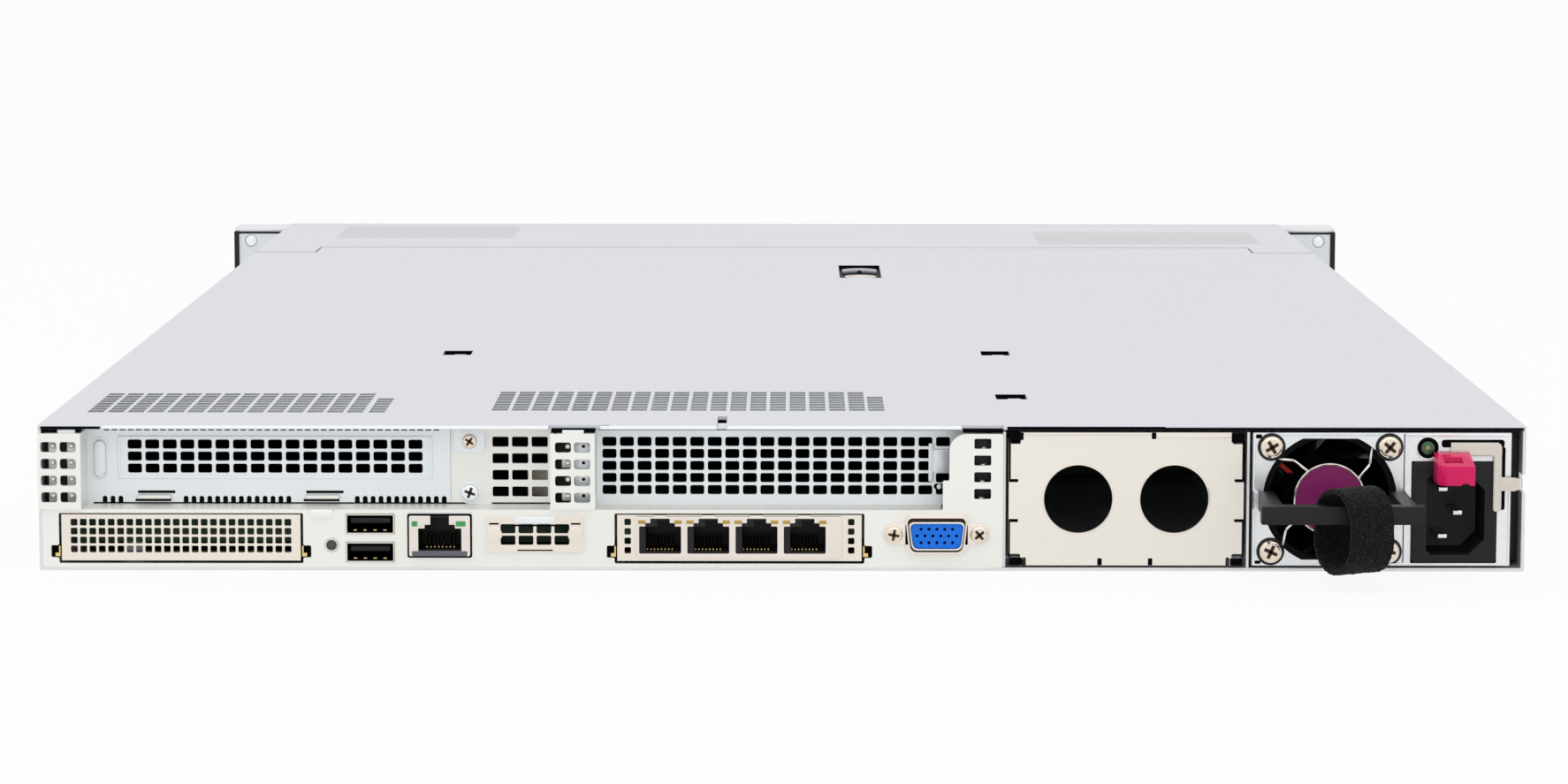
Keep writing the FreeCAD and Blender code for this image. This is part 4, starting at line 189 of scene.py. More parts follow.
def plated(name, colour, metallic, rough, grain, spread=0.06, stretch=(1, 1, 1)):
    """Plated sheet: broad clouding, a fine drawn grain and roughness that follows both."""
    material, place = new_material(name)
    drawn = place.node("ShaderNodeMapping", {}, {"Vector": place, "Scale": stretch})
    speck = drawn.noise(1400.0, 2.0)
    tone = place.noise(22.0) * 0.65 + speck * 0.35
    return shaded(material, place, {
        "Base Color": tone.shades(colour, 1 - spread, 1 + spread),
        "Metallic": metallic,
        "Roughness": rough + (tone - 0.5) * 0.2,
        "Normal": speck.relief(grain),
    })


def spangled(name, colour, metallic, rough):
    """Galvanised sheet: crystal spangle in tone and roughness."""
    material, place = new_material(name)
    crystals = place.node("ShaderNodeTexVoronoi", {}, {"Vector": place, "Scale": 160.0}, "Color")
    tint = place.node("ShaderNodeSeparateColor", {}, {"Color": crystals})
    speck = place.noise(1800.0, 2.0)
    tone = tint * 0.7 + speck * 0.3
    return shaded(material, place, {
        "Base Color": tone.shades(colour, 0.965, 1.03),
        "Metallic": metallic,
        "Roughness": rough + (tone - 0.5) * 0.1,
        "Normal": speck.relief(0.03),
    })


def moulded(name, colour, rough, grain=0.12, coat=0.0, shine=0.25):
    """Moulded plastic: fine eroded texture and slight flow clouding."""
    material, place = new_material(name)
    grit = place.noise(3200.0, 2.0)
    flow = place.noise(60.0)
    return shaded(material, place, {
        "Base Color": (flow * 0.5 + grit * 0.5).shades(colour, 0.85, 1.18),
        "Roughness": rough + (grit - 0.5) * 0.2,
        "Specular IOR Level": shine,
        "Coat Weight": coat,
        "Normal": grit.relief(grain),
    })


def webbing(name, colour):
    """Looped webbing: tangled pale fibres over a dark ground, with a soft sheen."""
    material, place = new_material(name)
    tangle = place.noise(2300.0, 4.0)
    loops = place.node("ShaderNodeTexVoronoi", {"feature": "DISTANCE_TO_EDGE"},
                       {"Vector": place, "Scale": 1300.0})
    fibre = place.node("ShaderNodeMapRange", {}, {"Value": tangle, "From Min": 0.56, "From Max": 0.74})
    return shaded(material, place, {
        "Base Color": fibre.shades(colour, 0.9, 11.0),
        "Roughness": 0.95 - tangle * 0.1,
        "Specular IOR Level": 0.1,
        "Sheen Weight": 0.08,
        "Normal": (tangle * 0.7 + loops * 0.3).relief(0.6, 0.0005),
    })


def board(name, colour):
    """Solder-masked board: copper runs under the mask and pale pads."""
    material, place = new_material(name)
    runs = place.node("ShaderNodeTexBrick", {}, {
        "Vector": place, "Scale": 160.0, "Color1": rgba(colour), "Color2": rgba(colour, 0.7),
        "Mortar": rgba(colour, 1.6), "Mortar Size": 0.03})
    speck = place.noise(700.0)
    return shaded(material, place, {
        "Base Color": speck.above(0.7).mix(runs, (0.2, 0.19, 0.16, 1)),
        "Roughness": 0.35 + speck * 0.2,
    })


def glowing(name, colour, strength=0.0):
    """Lens plastic: clear coat over a slightly clouded colour, lit from inside where it has strength."""
    material, place = new_material(name)
    cloud = place.noise(400.0)
    tint = cloud.shades(colour, 0.8, 1.15)
    return shaded(material, place, {
        "Base Color": tint,
        "Roughness": 0.2 + cloud * 0.1,
        "Coat Weight": 0.6,
        "Emission Color": tint,
        "Emission Strength": strength,
    })


def front_panel_metal(name, colour):
    """Cover plating with painted shade along its seams and front fold, and two bare grey plates."""
    material, place = new_material(name)
    across, along = (place.node("ShaderNodeSeparateXYZ", {}, {"Vector": place}, axis) for axis in "XY")

    def within(wire, low, high):
        return wire.above(low * MM) * (1 - wire.above(high * MM))

    patch = (within(across, -191, -115) * within(along, 281, 339)
             + within(across, 107, 200) * within(along, 254.5, 312.5))
    # Painted shade: darker bands along the panel's two seams and its front fold, where shade falls in the
    # joins.
    seam_shade = within(along, 236, 239.4) * within(across, -192.6, 192.6) + within(along, 212, 215.2)
    fold = seam_shade + within(along, 350.6, 354)
    speck = place.noise(1400.0, 2.0)
    tone = place.noise(22.0) * 0.65 + speck * 0.35
    metal = fold.mix(tone.shades(colour, 0.95, 1.05), rgba(colour, 0.55))
    return shaded(material, place, {
        "Base Color": patch.mix(metal, rgba((0.55, 0.56, 0.58))),
        "Metallic": 0.55 - patch * 0.5,
        "Roughness": 0.36 + (tone - 0.5) * 0.2,
        "Normal": speck.relief(0.04),
    })


def recipes():
    """Every finish: the slot that it usually belongs to, then its maker, colour and settings."""
    looks = bpy.context.scene.sheet_looks
    supply = bpy.context.scene.supply_looks
    black = supply.plastic_colour
    return {
        "cover_steel": ("cover_steel", plated, looks.cover_colour, 0.55, 0.36, 0.04),
        "front_cover": ("cover_steel", front_panel_metal, looks.cover_colour),
        "chassis_steel": ("chassis_steel", spangled, dimmed(looks.zinc_colour, 0.87), 0.7, 0.36),
        "panel_steel": ("panel_steel", plated, looks.panel_colour, 0.45, 0.42, 0.05),
        "bracket_steel": ("bracket_steel", plated, looks.slot_colour, 0.5, 0.38, 0.05),
        "nickel_plate": ("nickel_plate", plated, looks.nickel_colour, 0.8, 0.28, 0.05, 0.1),
        "blank_steel": ("nickel_plate", plated, (0.87, 0.83, 0.755), 0.5, 0.4, 0.05, 0.05),
        "zinc_plate": ("nickel_plate", spangled, looks.zinc_colour, 0.6, 0.25),
        "bright_nickel": ("nickel_plate", plated, (0.82, 0.76, 0.70), 1.0, 0.16, 0.02, 0.08),
        "latch_steel": ("nickel_plate", plated, (0.66, 0.61, 0.55), 1.0, 0.2, 0.03, 0.12),
        "band_steel": ("nickel_plate", plated, (0.27, 0.28, 0.30), 0.5, 0.3, 0.03, 0.1),
        "dull_tan": ("nickel_plate", plated, (0.45, 0.40, 0.35), 0.3, 0.5, 0.05, 0.15),
        "screw_nickel": ("screw_nickel", plated, (0.80, 0.70, 0.58), 1.0, 0.2, 0.03, 0.1),
        "white_zinc": ("screw_nickel", plated, (0.93, 0.95, 0.97), 0.6, 0.3, 0.03, 0.04),
        "contact_brass": ("contact_brass", plated, (0.80, 0.60, 0.26), 1.0, 0.25, 0.03, 0.12),
        "black_plastic": ("black_plastic", moulded, black, 0.42),
        "gloss_black": ("black_plastic", moulded, dimmed(black, 0.6), 0.2, 0.03, 0.25),
        "fan_black": ("black_plastic", moulded, dimmed(black, 0.5), 0.5, 0.03, 0.0, 0.05),
        # Dark brown for painted shade in recesses: the screws' crosses and the video socket's well.
        "recess_brown": ("black_plastic", moulded, (0.045, 0.028, 0.02), 0.5),
        "hub_disc": ("black_plastic", moulded, supply.hub_colour, 0.35, 0.02, 0.03, 0.15),
        "red_wire": ("black_plastic", moulded, (0.35, 0.01, 0.01), 0.4),
        # Black for painted shade in gaps, slits, notches, wells and under edges.
        "dark_void": ("black_plastic", moulded, (0.004, 0.004, 0.005), 0.9, 0.0, 0.0, 0.0),
        "blue_plastic": ("blue_plastic", moulded, (0.0, 0.17, 0.80), 0.3, 0.04, 0.1),
        "pink_plastic": ("pink_plastic", moulded, supply.tab_colour, 0.32, 0.05, 0.1),
        "lever_plastic": ("lever_plastic", moulded, (0.06, 0.06, 0.07), 0.45),
        "slate_plastic": ("lever_plastic", moulded, (0.13, 0.14, 0.16), 0.4),
        "strap_webbing": ("strap_webbing", webbing, supply.strap_colour),
        "circuit_board": ("circuit_board", board, (0.008, 0.045, 0.02)),
        "fin_aluminium": ("fin_aluminium", plated, (0.78, 0.79, 0.81), 1.0, 0.35, 0.05, 0.06, (1, 0.05, 1)),
        "drive_aluminium": ("drive_aluminium", plated, (0.50, 0.51, 0.53), 0.9, 0.4, 0.06),
        "lid_nickel": ("lid_nickel", plated, (0.75, 0.74, 0.72), 1.0, 0.3, 0.04),
        "lens_plastic": ("lens_plastic", glowing, (0.70, 0.74, 0.72)),
        "dark_lens": ("lens_plastic", glowing, (0.02, 0.03, 0.03)),
        "green_light": ("lens_plastic", glowing, (0.02, 0.30, 0.08), 0.1),
        "dim_green": ("lens_plastic", glowing, (0.010, 0.10, 0.035)),
        "amber_light": ("lens_plastic", glowing, (0.42, 0.27, 0.02), 0.1),
        "white_reflector": ("lens_plastic", moulded, (0.80, 0.80, 0.76), 0.4),
    }


MATERIALS = {}


def finish(name):
    """The material of that name, made when it is first asked for."""
    if name not in MATERIALS:
        _, maker, *settings = recipes()[name]
        MATERIALS[name] = maker(name, *settings)
    return MATERIALS[name]


def span(low, high, start=REAR):
    """A span measured from a start: from the rear face, unless another is given."""
    return start + low, start + high


def sided(side, near, far, start=0.0):
    """A span on the left (-1) or right (1) of a start."""
    return sorted((start + side * near, start + side * far))


def sizes_of(*spans):
    return [(high - low) * MM for low, high in spans]


def centre_of(*spans):
    return [sum(ends) / 2 * MM for ends in spans]


def in_metres(place):
    """A matrix in millimetres as one in metres."""
    scaled = place.copy()
    scaled.translation = place.translation * MM
    return scaled


def activate(piece):
    bpy.ops.object.select_all(action="DESELECT")
    piece.select_set(True)
    bpy.context.view_layer.objects.active = piece


def added(primitive, scale=(1, 1, 1), **settings):
    """Add a primitive and put its place, turn and scale into its mesh."""
    bpy.ops.object.select_all(action="DESELECT")
    primitive(**settings)
    piece = bpy.context.object
    piece.scale = scale
    bpy.ops.object.transform_apply(location=True, rotation=True, scale=True)
    return piece


def block(x, y, z):
    return added(bpy.ops.mesh.primitive_cube_add, sizes_of(x, y, z), size=1, location=centre_of(x, y, z))


def blocks(y, *faces):
    """Blocks of one depth, each with the x and z of its face."""
    return [block(x, y, z) for x, z in faces]


def bar(axis, centre, radius, long, sides=32):
    """A round bar about a centre, along one axis."""
    return added(bpy.ops.mesh.primitive_cylinder_add, vertices=sides, radius=radius * MM, depth=long * MM,
                 location=Vector(centre) * MM, rotation=TURNS[axis])


def every(item):
    return True


def middle(item):
    """Centre of a corner, edge or face, in millimetres."""
    corners = getattr(item, "verts", [item])
    return sum((corner.co for corner in corners), Vector()) / len(corners) / MM


def facing(direction):
    aim = Vector(direction)
    return lambda face: face.normal.dot(aim) > 0.99


def running(axis, shortest=0.0, longest=1e9, where=every):
    """A test for edges along an axis, by their length and by where their middle is, in millimetres."""
    def test(edge):
        line = (edge.verts[1].co - edge.verts[0].co) / MM
        straight = abs(line["xyz".index(axis)]) > 0.999 * line.length
        return straight and shortest < line.length < longest and where(middle(edge))
    return test


def sharp(edge):
    return edge.calc_face_angle(0) > SHARP_ANGLE


def rim(level):
    """A test for the sharp edges further rearward than a depth."""
    return lambda edge: middle(edge).y < level and sharp(edge)


def lying(edge, level, slack):
    """Whether both ends of an edge are at a depth, within a slack."""
    return all(abs(end.co.y / MM - level) < slack for end in edge.verts)


@contextlib.contextmanager
def editing(piece, kind, test):
    """Edit mode with only the corners, edges or faces selected that pass a test; gives their count."""
    activate(piece)
    bpy.ops.object.mode_set(mode="EDIT")
    bpy.ops.mesh.select_mode(type=kind)
    bpy.ops.mesh.select_all(action="DESELECT")
    mesh = bmesh.from_edit_mesh(piece.data)
    mesh.normal_update()
    items = {"VERT": mesh.verts, "EDGE": mesh.edges, "FACE": mesh.faces}[kind]
    chosen = [item for item in items if test(item)]
    for item in chosen:
        item.select_set(True)
    mesh.select_flush_mode()
    bmesh.update_edit_mesh(piece.data)
    yield len(chosen)
    bpy.ops.object.mode_set(mode="OBJECT")


def applied(piece, kind, **settings):
    """Add a modifier with its settings and apply it."""
    activate(piece)
    modifier = piece.modifiers.new(kind.lower(), kind)
    for key, value in settings.items():
        setattr(modifier, key, value)
    bpy.ops.object.modifier_apply(modifier=modifier.name)
    return piece


def soften(piece, width, segments=2):
    return applied(piece, "BEVEL", width=width * MM, segments=segments, limit_method="ANGLE",
                   angle_limit=SMOOTH_ANGLE, use_clamp_overlap=True)


def round_off(piece, test, radius, segments=3):
    with editing(piece, "EDGE", test):
        bpy.ops.mesh.bevel(offset=radius * MM, segments=segments, affect="EDGES")
    return piece


def carve(piece, *cutters, operation="DIFFERENCE"):
    """Cut shapes out of a piece, or weld them to it, and clear them away."""
    for cutter in cutters:
        applied(piece, "BOOLEAN", operation=operation, object=cutter, solver="EXACT")
        bpy.data.objects.remove(cutter)
    return piece


def repeat(piece, count, step):
    return applied(piece, "ARRAY", count=count, use_relative_offset=False, use_constant_offset=True,
                   constant_offset_displace=Vector(step) * MM)


def copy_of(piece, place=Matrix()):
    """A copy with its own mesh, moved by a matrix in millimetres."""
    twin = bpy.data.objects.new(piece.name + "_copy", piece.data.copy())
    bpy.context.scene.collection.objects.link(twin)
    twin.data.transform(in_metres(place))
    return twin


def joined(pieces):
    activate(pieces[0])
    for piece in pieces:
        piece.select_set(True)
    bpy.ops.object.join()
    return pieces[0]


def mended(piece):
    """Merge a mesh's doubles and turn its faces outwards."""
    with editing(piece, "FACE", every):
        bpy.ops.mesh.remove_doubles(threshold=MERGE_DISTANCE)
        bpy.ops.mesh.normals_make_consistent(inside=False)
    return piece


def pinch(piece, direction, scale):
    """Scale the face of a block that looks one way, about the block's centre."""
    corners = [corner.co for corner in piece.data.vertices]
    centre = sum(corners, Vector()) / len(corners)
    with editing(piece, "FACE", facing(direction)):
        bpy.ops.transform.resize(value=scale, center_override=centre)
    return piece


def shift(piece, kind, test, move):
    with editing(piece, kind, test):
        bpy.ops.transform.translate(value=Vector(move) * MM)
    return piece


def sink(piece, direction, wall, move):
    """Push in the face that looks one way, but for a wall round it."""
    with editing(piece, "FACE", facing(direction)):
        bpy.ops.mesh.inset(thickness=wall * MM)
        bpy.ops.mesh.extrude_region_move(TRANSFORM_OT_translate={"value": tuple(Vector(move) * MM)})
    return piece


def cup(x, y, z, wall, corner):
    """A block with rounded corners, hollowed from its rear face to walls and a floor of one thickness."""
    shape = round_off(block(x, y, z), running("y"), corner)
    return sink(shape, REARWARD, wall, (0, y[1] - y[0] - wall, 0))


def hoop(x, z, y, outer, inner):
    """A flat ring about the Y axis, with softened edges."""
    centre = (x, sum(y) / 2, z)
    long = y[1] - y[0]
    ring = carve(bar("y", centre, outer, long, 48), bar("y", centre, inner, long + 2, 48))
    return soften(ring, min(outer - inner, long) * 0.3)


def rod(start, end, radius):
    """A straight round wire between two points, with domed ends."""
    line = Vector(end) - Vector(start)
    shape = bar("z", (0, 0, 0), radius, line.length, 12)
    turn = line.to_track_quat("Z", "Y").to_matrix().to_4x4()
    shape.data.transform(in_metres(Matrix.Translation((Vector(start) + Vector(end)) / 2) @ turn))
    return soften(shape, radius * 0.6, 3)


def leaf(x, z, y, corner=0.0, ring=0.0, steps=4):
    """A flat leaf that faces the rear; ring keeps only a rim of that width."""
    piece = added(bpy.ops.mesh.primitive_plane_add, (*sizes_of(x, z), 1), size=1, rotation=TURNS["y"],
                  location=centre_of(x, (y[1], y[1]), z))
    if corner:
        with editing(piece, "VERT", every):
            bpy.ops.mesh.bevel(offset=corner * MM, segments=steps, affect="VERTICES")
    if ring:
        with editing(piece, "FACE", every):
            bpy.ops.mesh.inset(thickness=ring * MM)
            bpy.ops.mesh.delete(type="FACE")
    return applied(piece, "SOLIDIFY", thickness=(y[1] - y[0]) * MM, offset=1)


def sheet_copy(node):
    """A copy of a CAD sheet, merged into clean flat faces."""
    piece = copy_of(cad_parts[node])
    with editing(piece, "VERT", every):
        bpy.ops.mesh.remove_doubles(threshold=MERGE_DISTANCE)
        bpy.ops.mesh.dissolve_limited(angle_limit=math.radians(1))
    activate(piece)
    bpy.ops.mesh.customdata_custom_splitnormals_clear()
    return piece


def rounded_punches(piece, radius):
    """Round a sheet's corners: open its flat faces, round the bare walls and fill the faces again."""
    levels = {round(face.center.y / MM, 3) for face in piece.data.polygons if abs(face.normal.y) > FLAT}
    with editing(piece, "FACE", lambda face: abs(face.normal.y) > FLAT):
        bpy.ops.mesh.delete(type="FACE")
    corner = running("y", 0.3, SHEET_THICKEST)
    round_off(piece, lambda edge: corner(edge) and sharp(edge), radius)
    for level in sorted(levels):
        with editing(piece, "EDGE", lambda edge: edge.is_boundary and lying(edge, level, 0.002)) as count:
            if count:
                bpy.ops.mesh.fill(use_beauty=True)
    with editing(piece, "FACE", every):
        bpy.ops.mesh.normals_make_consistent(inside=False)
    return piece


def dress(name, shapes, finish_name, body="chassis", nodes=(), edge=0.0, segments=2):
    """Finish a piece: join its shapes, soften its edges, give it its name, material and body.

    It hides the CAD nodes that it stands for.
    """
    piece = joined(shapes) if isinstance(shapes, list) else shapes
    if edge:
        soften(piece, edge, segments)
    piece.name = name
    piece.data.name = name
    activate(piece)
    bpy.ops.object.shade_smooth_by_angle(angle=SMOOTH_ANGLE)
    piece.data.materials.clear()
    piece.data.materials.append(finish(finish_name))
    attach(piece, body)
    if nodes:
        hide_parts(*nodes)
    return piece


class SHEET_OT_punched(bpy.types.Operator):
    """Punched sheets of the rear: rounded hole corners and turned edges on copies of the CAD sheets"""
    bl_idname = "rack_server.punched_sheets"
    bl_label = "Punched sheets"

    sheets = (
        ("rear_io_panel", "panel_steel", "chassis", 0.75),
        ("riser_bracket_left", "panel_steel", "chassis", 1.2),
        ("riser_bracket_middle", "panel_steel", "chassis", 1.2),
        ("slot_cover_left", "bracket_steel", "chassis", 1.0),
        ("slot_cover_right", "bracket_steel", "chassis", 1.0),
        ("expansion_blank", "nickel_plate", "chassis", 0.6),
        ("network_faceplate", "nickel_plate", "chassis", 0.6),
        ("serial_port_blank", "nickel_plate", "chassis", 0.8),
        ("psu_bay_blank", "blank_steel", "bay_blank", 0.8),
        ("psu_face", "zinc_plate", "power_supply", 0.5),
    )
    bead_out = 0.9
    frame_out = 0.45
    vent_rows = ((-200.3, 3), (-176.4, 14), (-125.9, 12))
    vent_pitch = 2.33

    def execute(self, context):
        for node, finish_name, body, share in self.sheets:
            piece = rounded_punches(sheet_copy(node), context.scene.sheet_looks.hole_round * share)
            if node == "slot_cover_left":
                round_off(piece, self.outline(self.bead_out), 0.6)
                round_off(piece, self.outline(self.frame_out), 0.2, 2)
                carve(piece, *self.foot_vents())
            if node == "slot_cover_right":
                oval = block((44.8, 48.0), span(-1, 2, PLATE), (22.4, 24.2))
                carve(piece, round_off(oval, running("y"), 0.85, 4))
            dress(node + "_sheet", piece, finish_name, body, [node])
        return {"FINISHED"}

    def outline(self, out):
        """A test for the edges round a form that is raised from the plate by so much."""
        return lambda edge: lying(edge, PLATE - out, 0.01) and sharp(edge)

    def foot_vents(self):
        """Cutters of the small round-topped vents along the foot of the left slot cover."""
        rows = []
        for start, count in self.vent_rows:
            vent = block(span(0, 1.45, start), span(-1, 2, PLATE), (18.3, 20.3))
            round_off(vent, running("y", where=lambda spot: spot.z > 20), 0.6)
            rows.append(repeat(vent, count, (self.vent_pitch, 0, 0)))
        return rows


class SHEET_OT_embossing(bpy.types.Operator):
    """Bead rim, louvres and spring clip of the slot covers, the serial blank's relief and a ledge tab"""
    bl_idname = "rack_server.slot_details"
    bl_label = "Slot cover details"

    louvres = (-190.2, -140.6)
    serial_face = REAR - 0.8
    serial_slits = (((-79.0, -65.3), (13.2, 13.75)), ((-85.6, -82.6), (13.7, 14.2)),
                    ((-61.7, -58.7), (13.7, 14.2)), ((-77.4, -66.9), (5.9, 6.3)))

    def execute(self, context):
        bead = leaf((-203.5, -198.3), (25.0, 37.8), span(-0.25, 0, PLATE), 2.5, 0.6)
        dress("slot_bead_rim", bead, "bracket_steel", edge=0.2)
        self.louvre_rows()
        spring = [leaf((44.6, 49.4), (27.4, 34.4), span(-0.9, 0, PLATE), 0.5),
                  leaf((43.2, 44.7), (24.8, 36.2), span(-0.5, 0, PLATE), 0.4),
                  bar("y", (46.4, PLATE - 0.2, 23.3), 0.75, 1.6, 24)]
        dress("spring_clip_leaf", spring, "bracket_steel", edge=0.25)
        riser = [leaf((-96.7, -87.4), (33.5, 41.2), span(-0.98, -0.79, PLATE), 1.4),
                 bar("y", (-91.9, PLATE - 0.15, 21.4), 3.4, 0.3, 40)]
        dress("riser_tab_plate", riser, "bracket_steel", edge=0.08)
        self.serial()
        lug = block((-138.0, -131.2), span(-0.7, 0), (15.4, 18.2))
        round_off(lug, running("y", where=lambda spot: spot.z < 16), 1.2, 4)
        round_off(lug, running("x", 3, where=lambda spot: spot.z > 18), 0.6)
        dress("ledge_tab", lug, "panel_steel", edge=0.15)
        return {"FINISHED"}

    def louvre_rows(self):
        """Two tapered louvres, with painted shade in the slits above and below them and in the gaps along the
        plate's foot.
        """
        depth = span(-0.06, 0.2, PLATE)
        foot = (18.02, 18.45)
        slits = blocks(depth, ((-203.0, -92.6), foot), ((-85.5, -66.9), foot))
        tabs = []
        for start in self.louvres:
            tab = block(span(0, 10.6, start), span(-2.4, 0, PLATE), (19.5, 20.9))
            tabs.append(soften(pinch(tab, REARWARD, (0.9, 1, 0.75)), 0.35, 3))
            slits.append(block(span(0.4, 11.4, start), depth, (21.1, 21.9)))
            slits.append(block(span(-0.4, 10.2, start), depth, (18.7, 19.4)))
        dress("louvre_tabs", tabs, "panel_steel")
        dress("louvre_slits", slits, "dark_void", edge=0.05)

    def serial(self):
        """Folded tab and side bosses of the blank over the serial port, with painted shade in its hook slits.
        """
        face = self.serial_face
        tab = leaf((-78.0, -66.3), (14.0, 16.1), span(-0.45, 0, face), 0.5)
        dress("serial_tab", tab, "bracket_steel", edge=0.2)
        bosses = [bar("y", (x, face - 0.15, 10.8), 2.3, 0.5) for x in (-84.0, -60.3)]
        dress("serial_bosses", bosses, "nickel_plate", edge=0.3, segments=3)
        # Painted shade: dark leaves in the hook slits.
        slits = [leaf(x, z, span(-0.06, 0, face), 0.3) for x, z in self.serial_slits]
        dress("serial_slits", slits, "dark_void")


class SHEET_OT_backings(bpy.types.Operator):
    """Dark sheets of painted shade behind the brackets' holes and under the cover's rear edge, and the pale
    clips that show through the holes
    """
    bl_idname = "rack_server.backings"
    # The gasket in the label is painted shade: dark strips under the cover's rear edge.
    bl_label = "Inner sheets and gasket"

    hole_pitch = 4.87
    tongue_pitch = 4.93
    blank_notches = (
        ((66.4, 70.6), (38.7, 40.9)), ((131.3, 135.0), (38.0, 40.9)), ((66.5, 70.4), (1.75, 4.0)),
        ((131.2, 134.9), (1.75, 3.8)), ((66.4, 69.1), (26.3, 27.2)), ((66.4, 69.1), (14.5, 15.4)),
        ((132.3, 135.0), (26.3, 27.2)), ((132.3, 135.0), (14.5, 15.4)), ((92.4, 93.7), (1.75, 3.8)),
        ((107.2, 108.5), (1.75, 3.8)), ((108.0, 109.3), (39.0, 40.9)),
    )
    blank_side_gaps = (
        ((66.4, 66.9), (27.0, 38.8)), ((66.4, 66.8), (4.0, 14.6)), ((134.5, 135.0), (27.0, 38.2)),
        ((134.6, 135.0), (3.8, 14.6)),
    )
    clip_edges = ((-211.5, -1), (-140.0, 1), (-48.9, -1), (24.2, 1))

    def execute(self, context):
        tall = (18.6, 39.2)
        # Painted shade: dark sheets behind the brackets' holes.
        sheets = blocks(span(5.5, 7), ((-216.0, -206.0), tall), ((-66.2, -55.9), tall))
        sheets.append(block((54.6, 63.4), span(3.5, 5), (19.0, 40.0)))
        dress("bracket_inner_sheets", sheets, "black_plastic", edge=0.2)
        self.inner_metal()
        # Painted shade: dark strips in the gaps under the cover's rear edge.
        under = (40.6, 41.5)
        gap_shades = blocks(span(1.5, 4.5), ((-216.1, -205), under), ((-67.4, -54.6), under),
                         ((53.0, 64.6), under), ((66.6, 134.8), (40.98, 41.5)),
                         ((137.4, 213.0), (41.02, 41.55)))
        dress("cover_gasket", gap_shades, "dark_void", edge=0.15)
        # Painted shade: a dark strip in the gap beside the supply's bay.
        dress("bay_side_strip", block((213.4, 216.2), span(7.5, 9), (2.0, 41.0)), "black_plastic", edge=0.2)
        self.clips()
        self.blank_marks()
        rims = [hoop(x, 21.3, span(-0.22, 0), 10.45, 10.0) for x in (86.65, 114.75)]
        dress("finger_rims", rims, "bright_nickel", "bay_blank")
        return {"FINISHED"}

    def inner_metal(self):
        """Pale springs, sheets and tabs that show through the holes and above the brackets."""
        tall = (19.4, 38.4)
        roof = (40.3, 41.35)
        strips = blocks(span(3.0, 4.2), ((-214.6, -212.3), tall), ((-209.2, -206.7), tall),
                        ((-60.6, -55.8), tall), ((-64.4, -61.1), (30.0, 32.8)),
                        ((-64.4, -61.1), (20.2, 23.0)))
        strips += blocks(span(0.6, 1.4), ((-211.6, -206.4), roof), ((-64.1, -57.8), roof))
        dress("inner_strips", strips, "bracket_steel", edge=0.2)
        up = (0, 0, self.hole_pitch)
        clips = [repeat(soften(bar("y", (x, REAR + 2.7, 21.7), 0.8, 0.8, 20), 0.35, 3), 4, up)
                 for x in (-213.3, -207.9, -62.6)]
        bit = pinch(block((57.6, 59.3), span(2.6, 3.5), (20.3, 21.6)), REARWARD, (0.6, 1, 0.6))
        clips.append(repeat(soften(bit, 0.15), 4, (0.25, 0, self.tongue_pitch)))
        dress("inner_clips", clips, "nickel_plate")
        # Painted shade: dark dots on the pale strip behind the middle bracket.
        dot = soften(bar("y", (-58.0, REAR + 2.95, 21.7), 0.5, 0.3, 16), 0.05)
        dress("sheet_dots", repeat(dot, 4, up), "dark_void")
        fold = block((-75.4, -68.4), span(2.5, 3.5, PLATE), (19.8, 28.2))
        shift(fold, "FACE", facing((-1, 0, 0)), (0, 5.0, 0))
        dress("vent_fold", fold, "dull_tan", edge=0.2)

    def blank_marks(self):
        """Painted shade in the relief notches and side gaps of the empty bay's blank, and the bright lips
        folded along its top.
        """
        skin = span(-0.05, 0)
        marks = [leaf(x, z, skin, 0.2) for x, z in self.blank_notches]
        marks += [leaf(x, z, skin) for x, z in self.blank_side_gaps]
        dress("blank_marks", marks, "dark_void", "bay_blank")
        lips = blocks(span(-0.4, 0.2), ((70.8, 107.8), (40.2, 40.8)), ((109.5, 131.1), (39.5, 40.1)))
        dress("blank_lips", lips, "bright_nickel", "bay_blank", edge=0.18, segments=3)

    def clips(self):
        """Grounding clips beside the two card faces, a sprung leaf and a small lug, with painted shade in
        their notches.
        """
        notches = []
        clips = []
        for edge, way in self.clip_edges:
            notches.append(block(sided(way, 0.1, 2.2, edge), span(1.2, 2.0), (3.7, 7.5)))
            clips.append(block(sided(way, -0.4, 1.1, edge), span(-0.1, 0.9), (4.1, 5.2)))
            clips.append(block(sided(way, -0.4, 0.1, edge), span(0.1, 4.6), (4.0, 7.2)))
        dress("clip_notches", notches, "dark_void", edge=0.1)
        dress("grounding_clips", clips, "contact_brass", nodes=["module_clips"], edge=0.15)


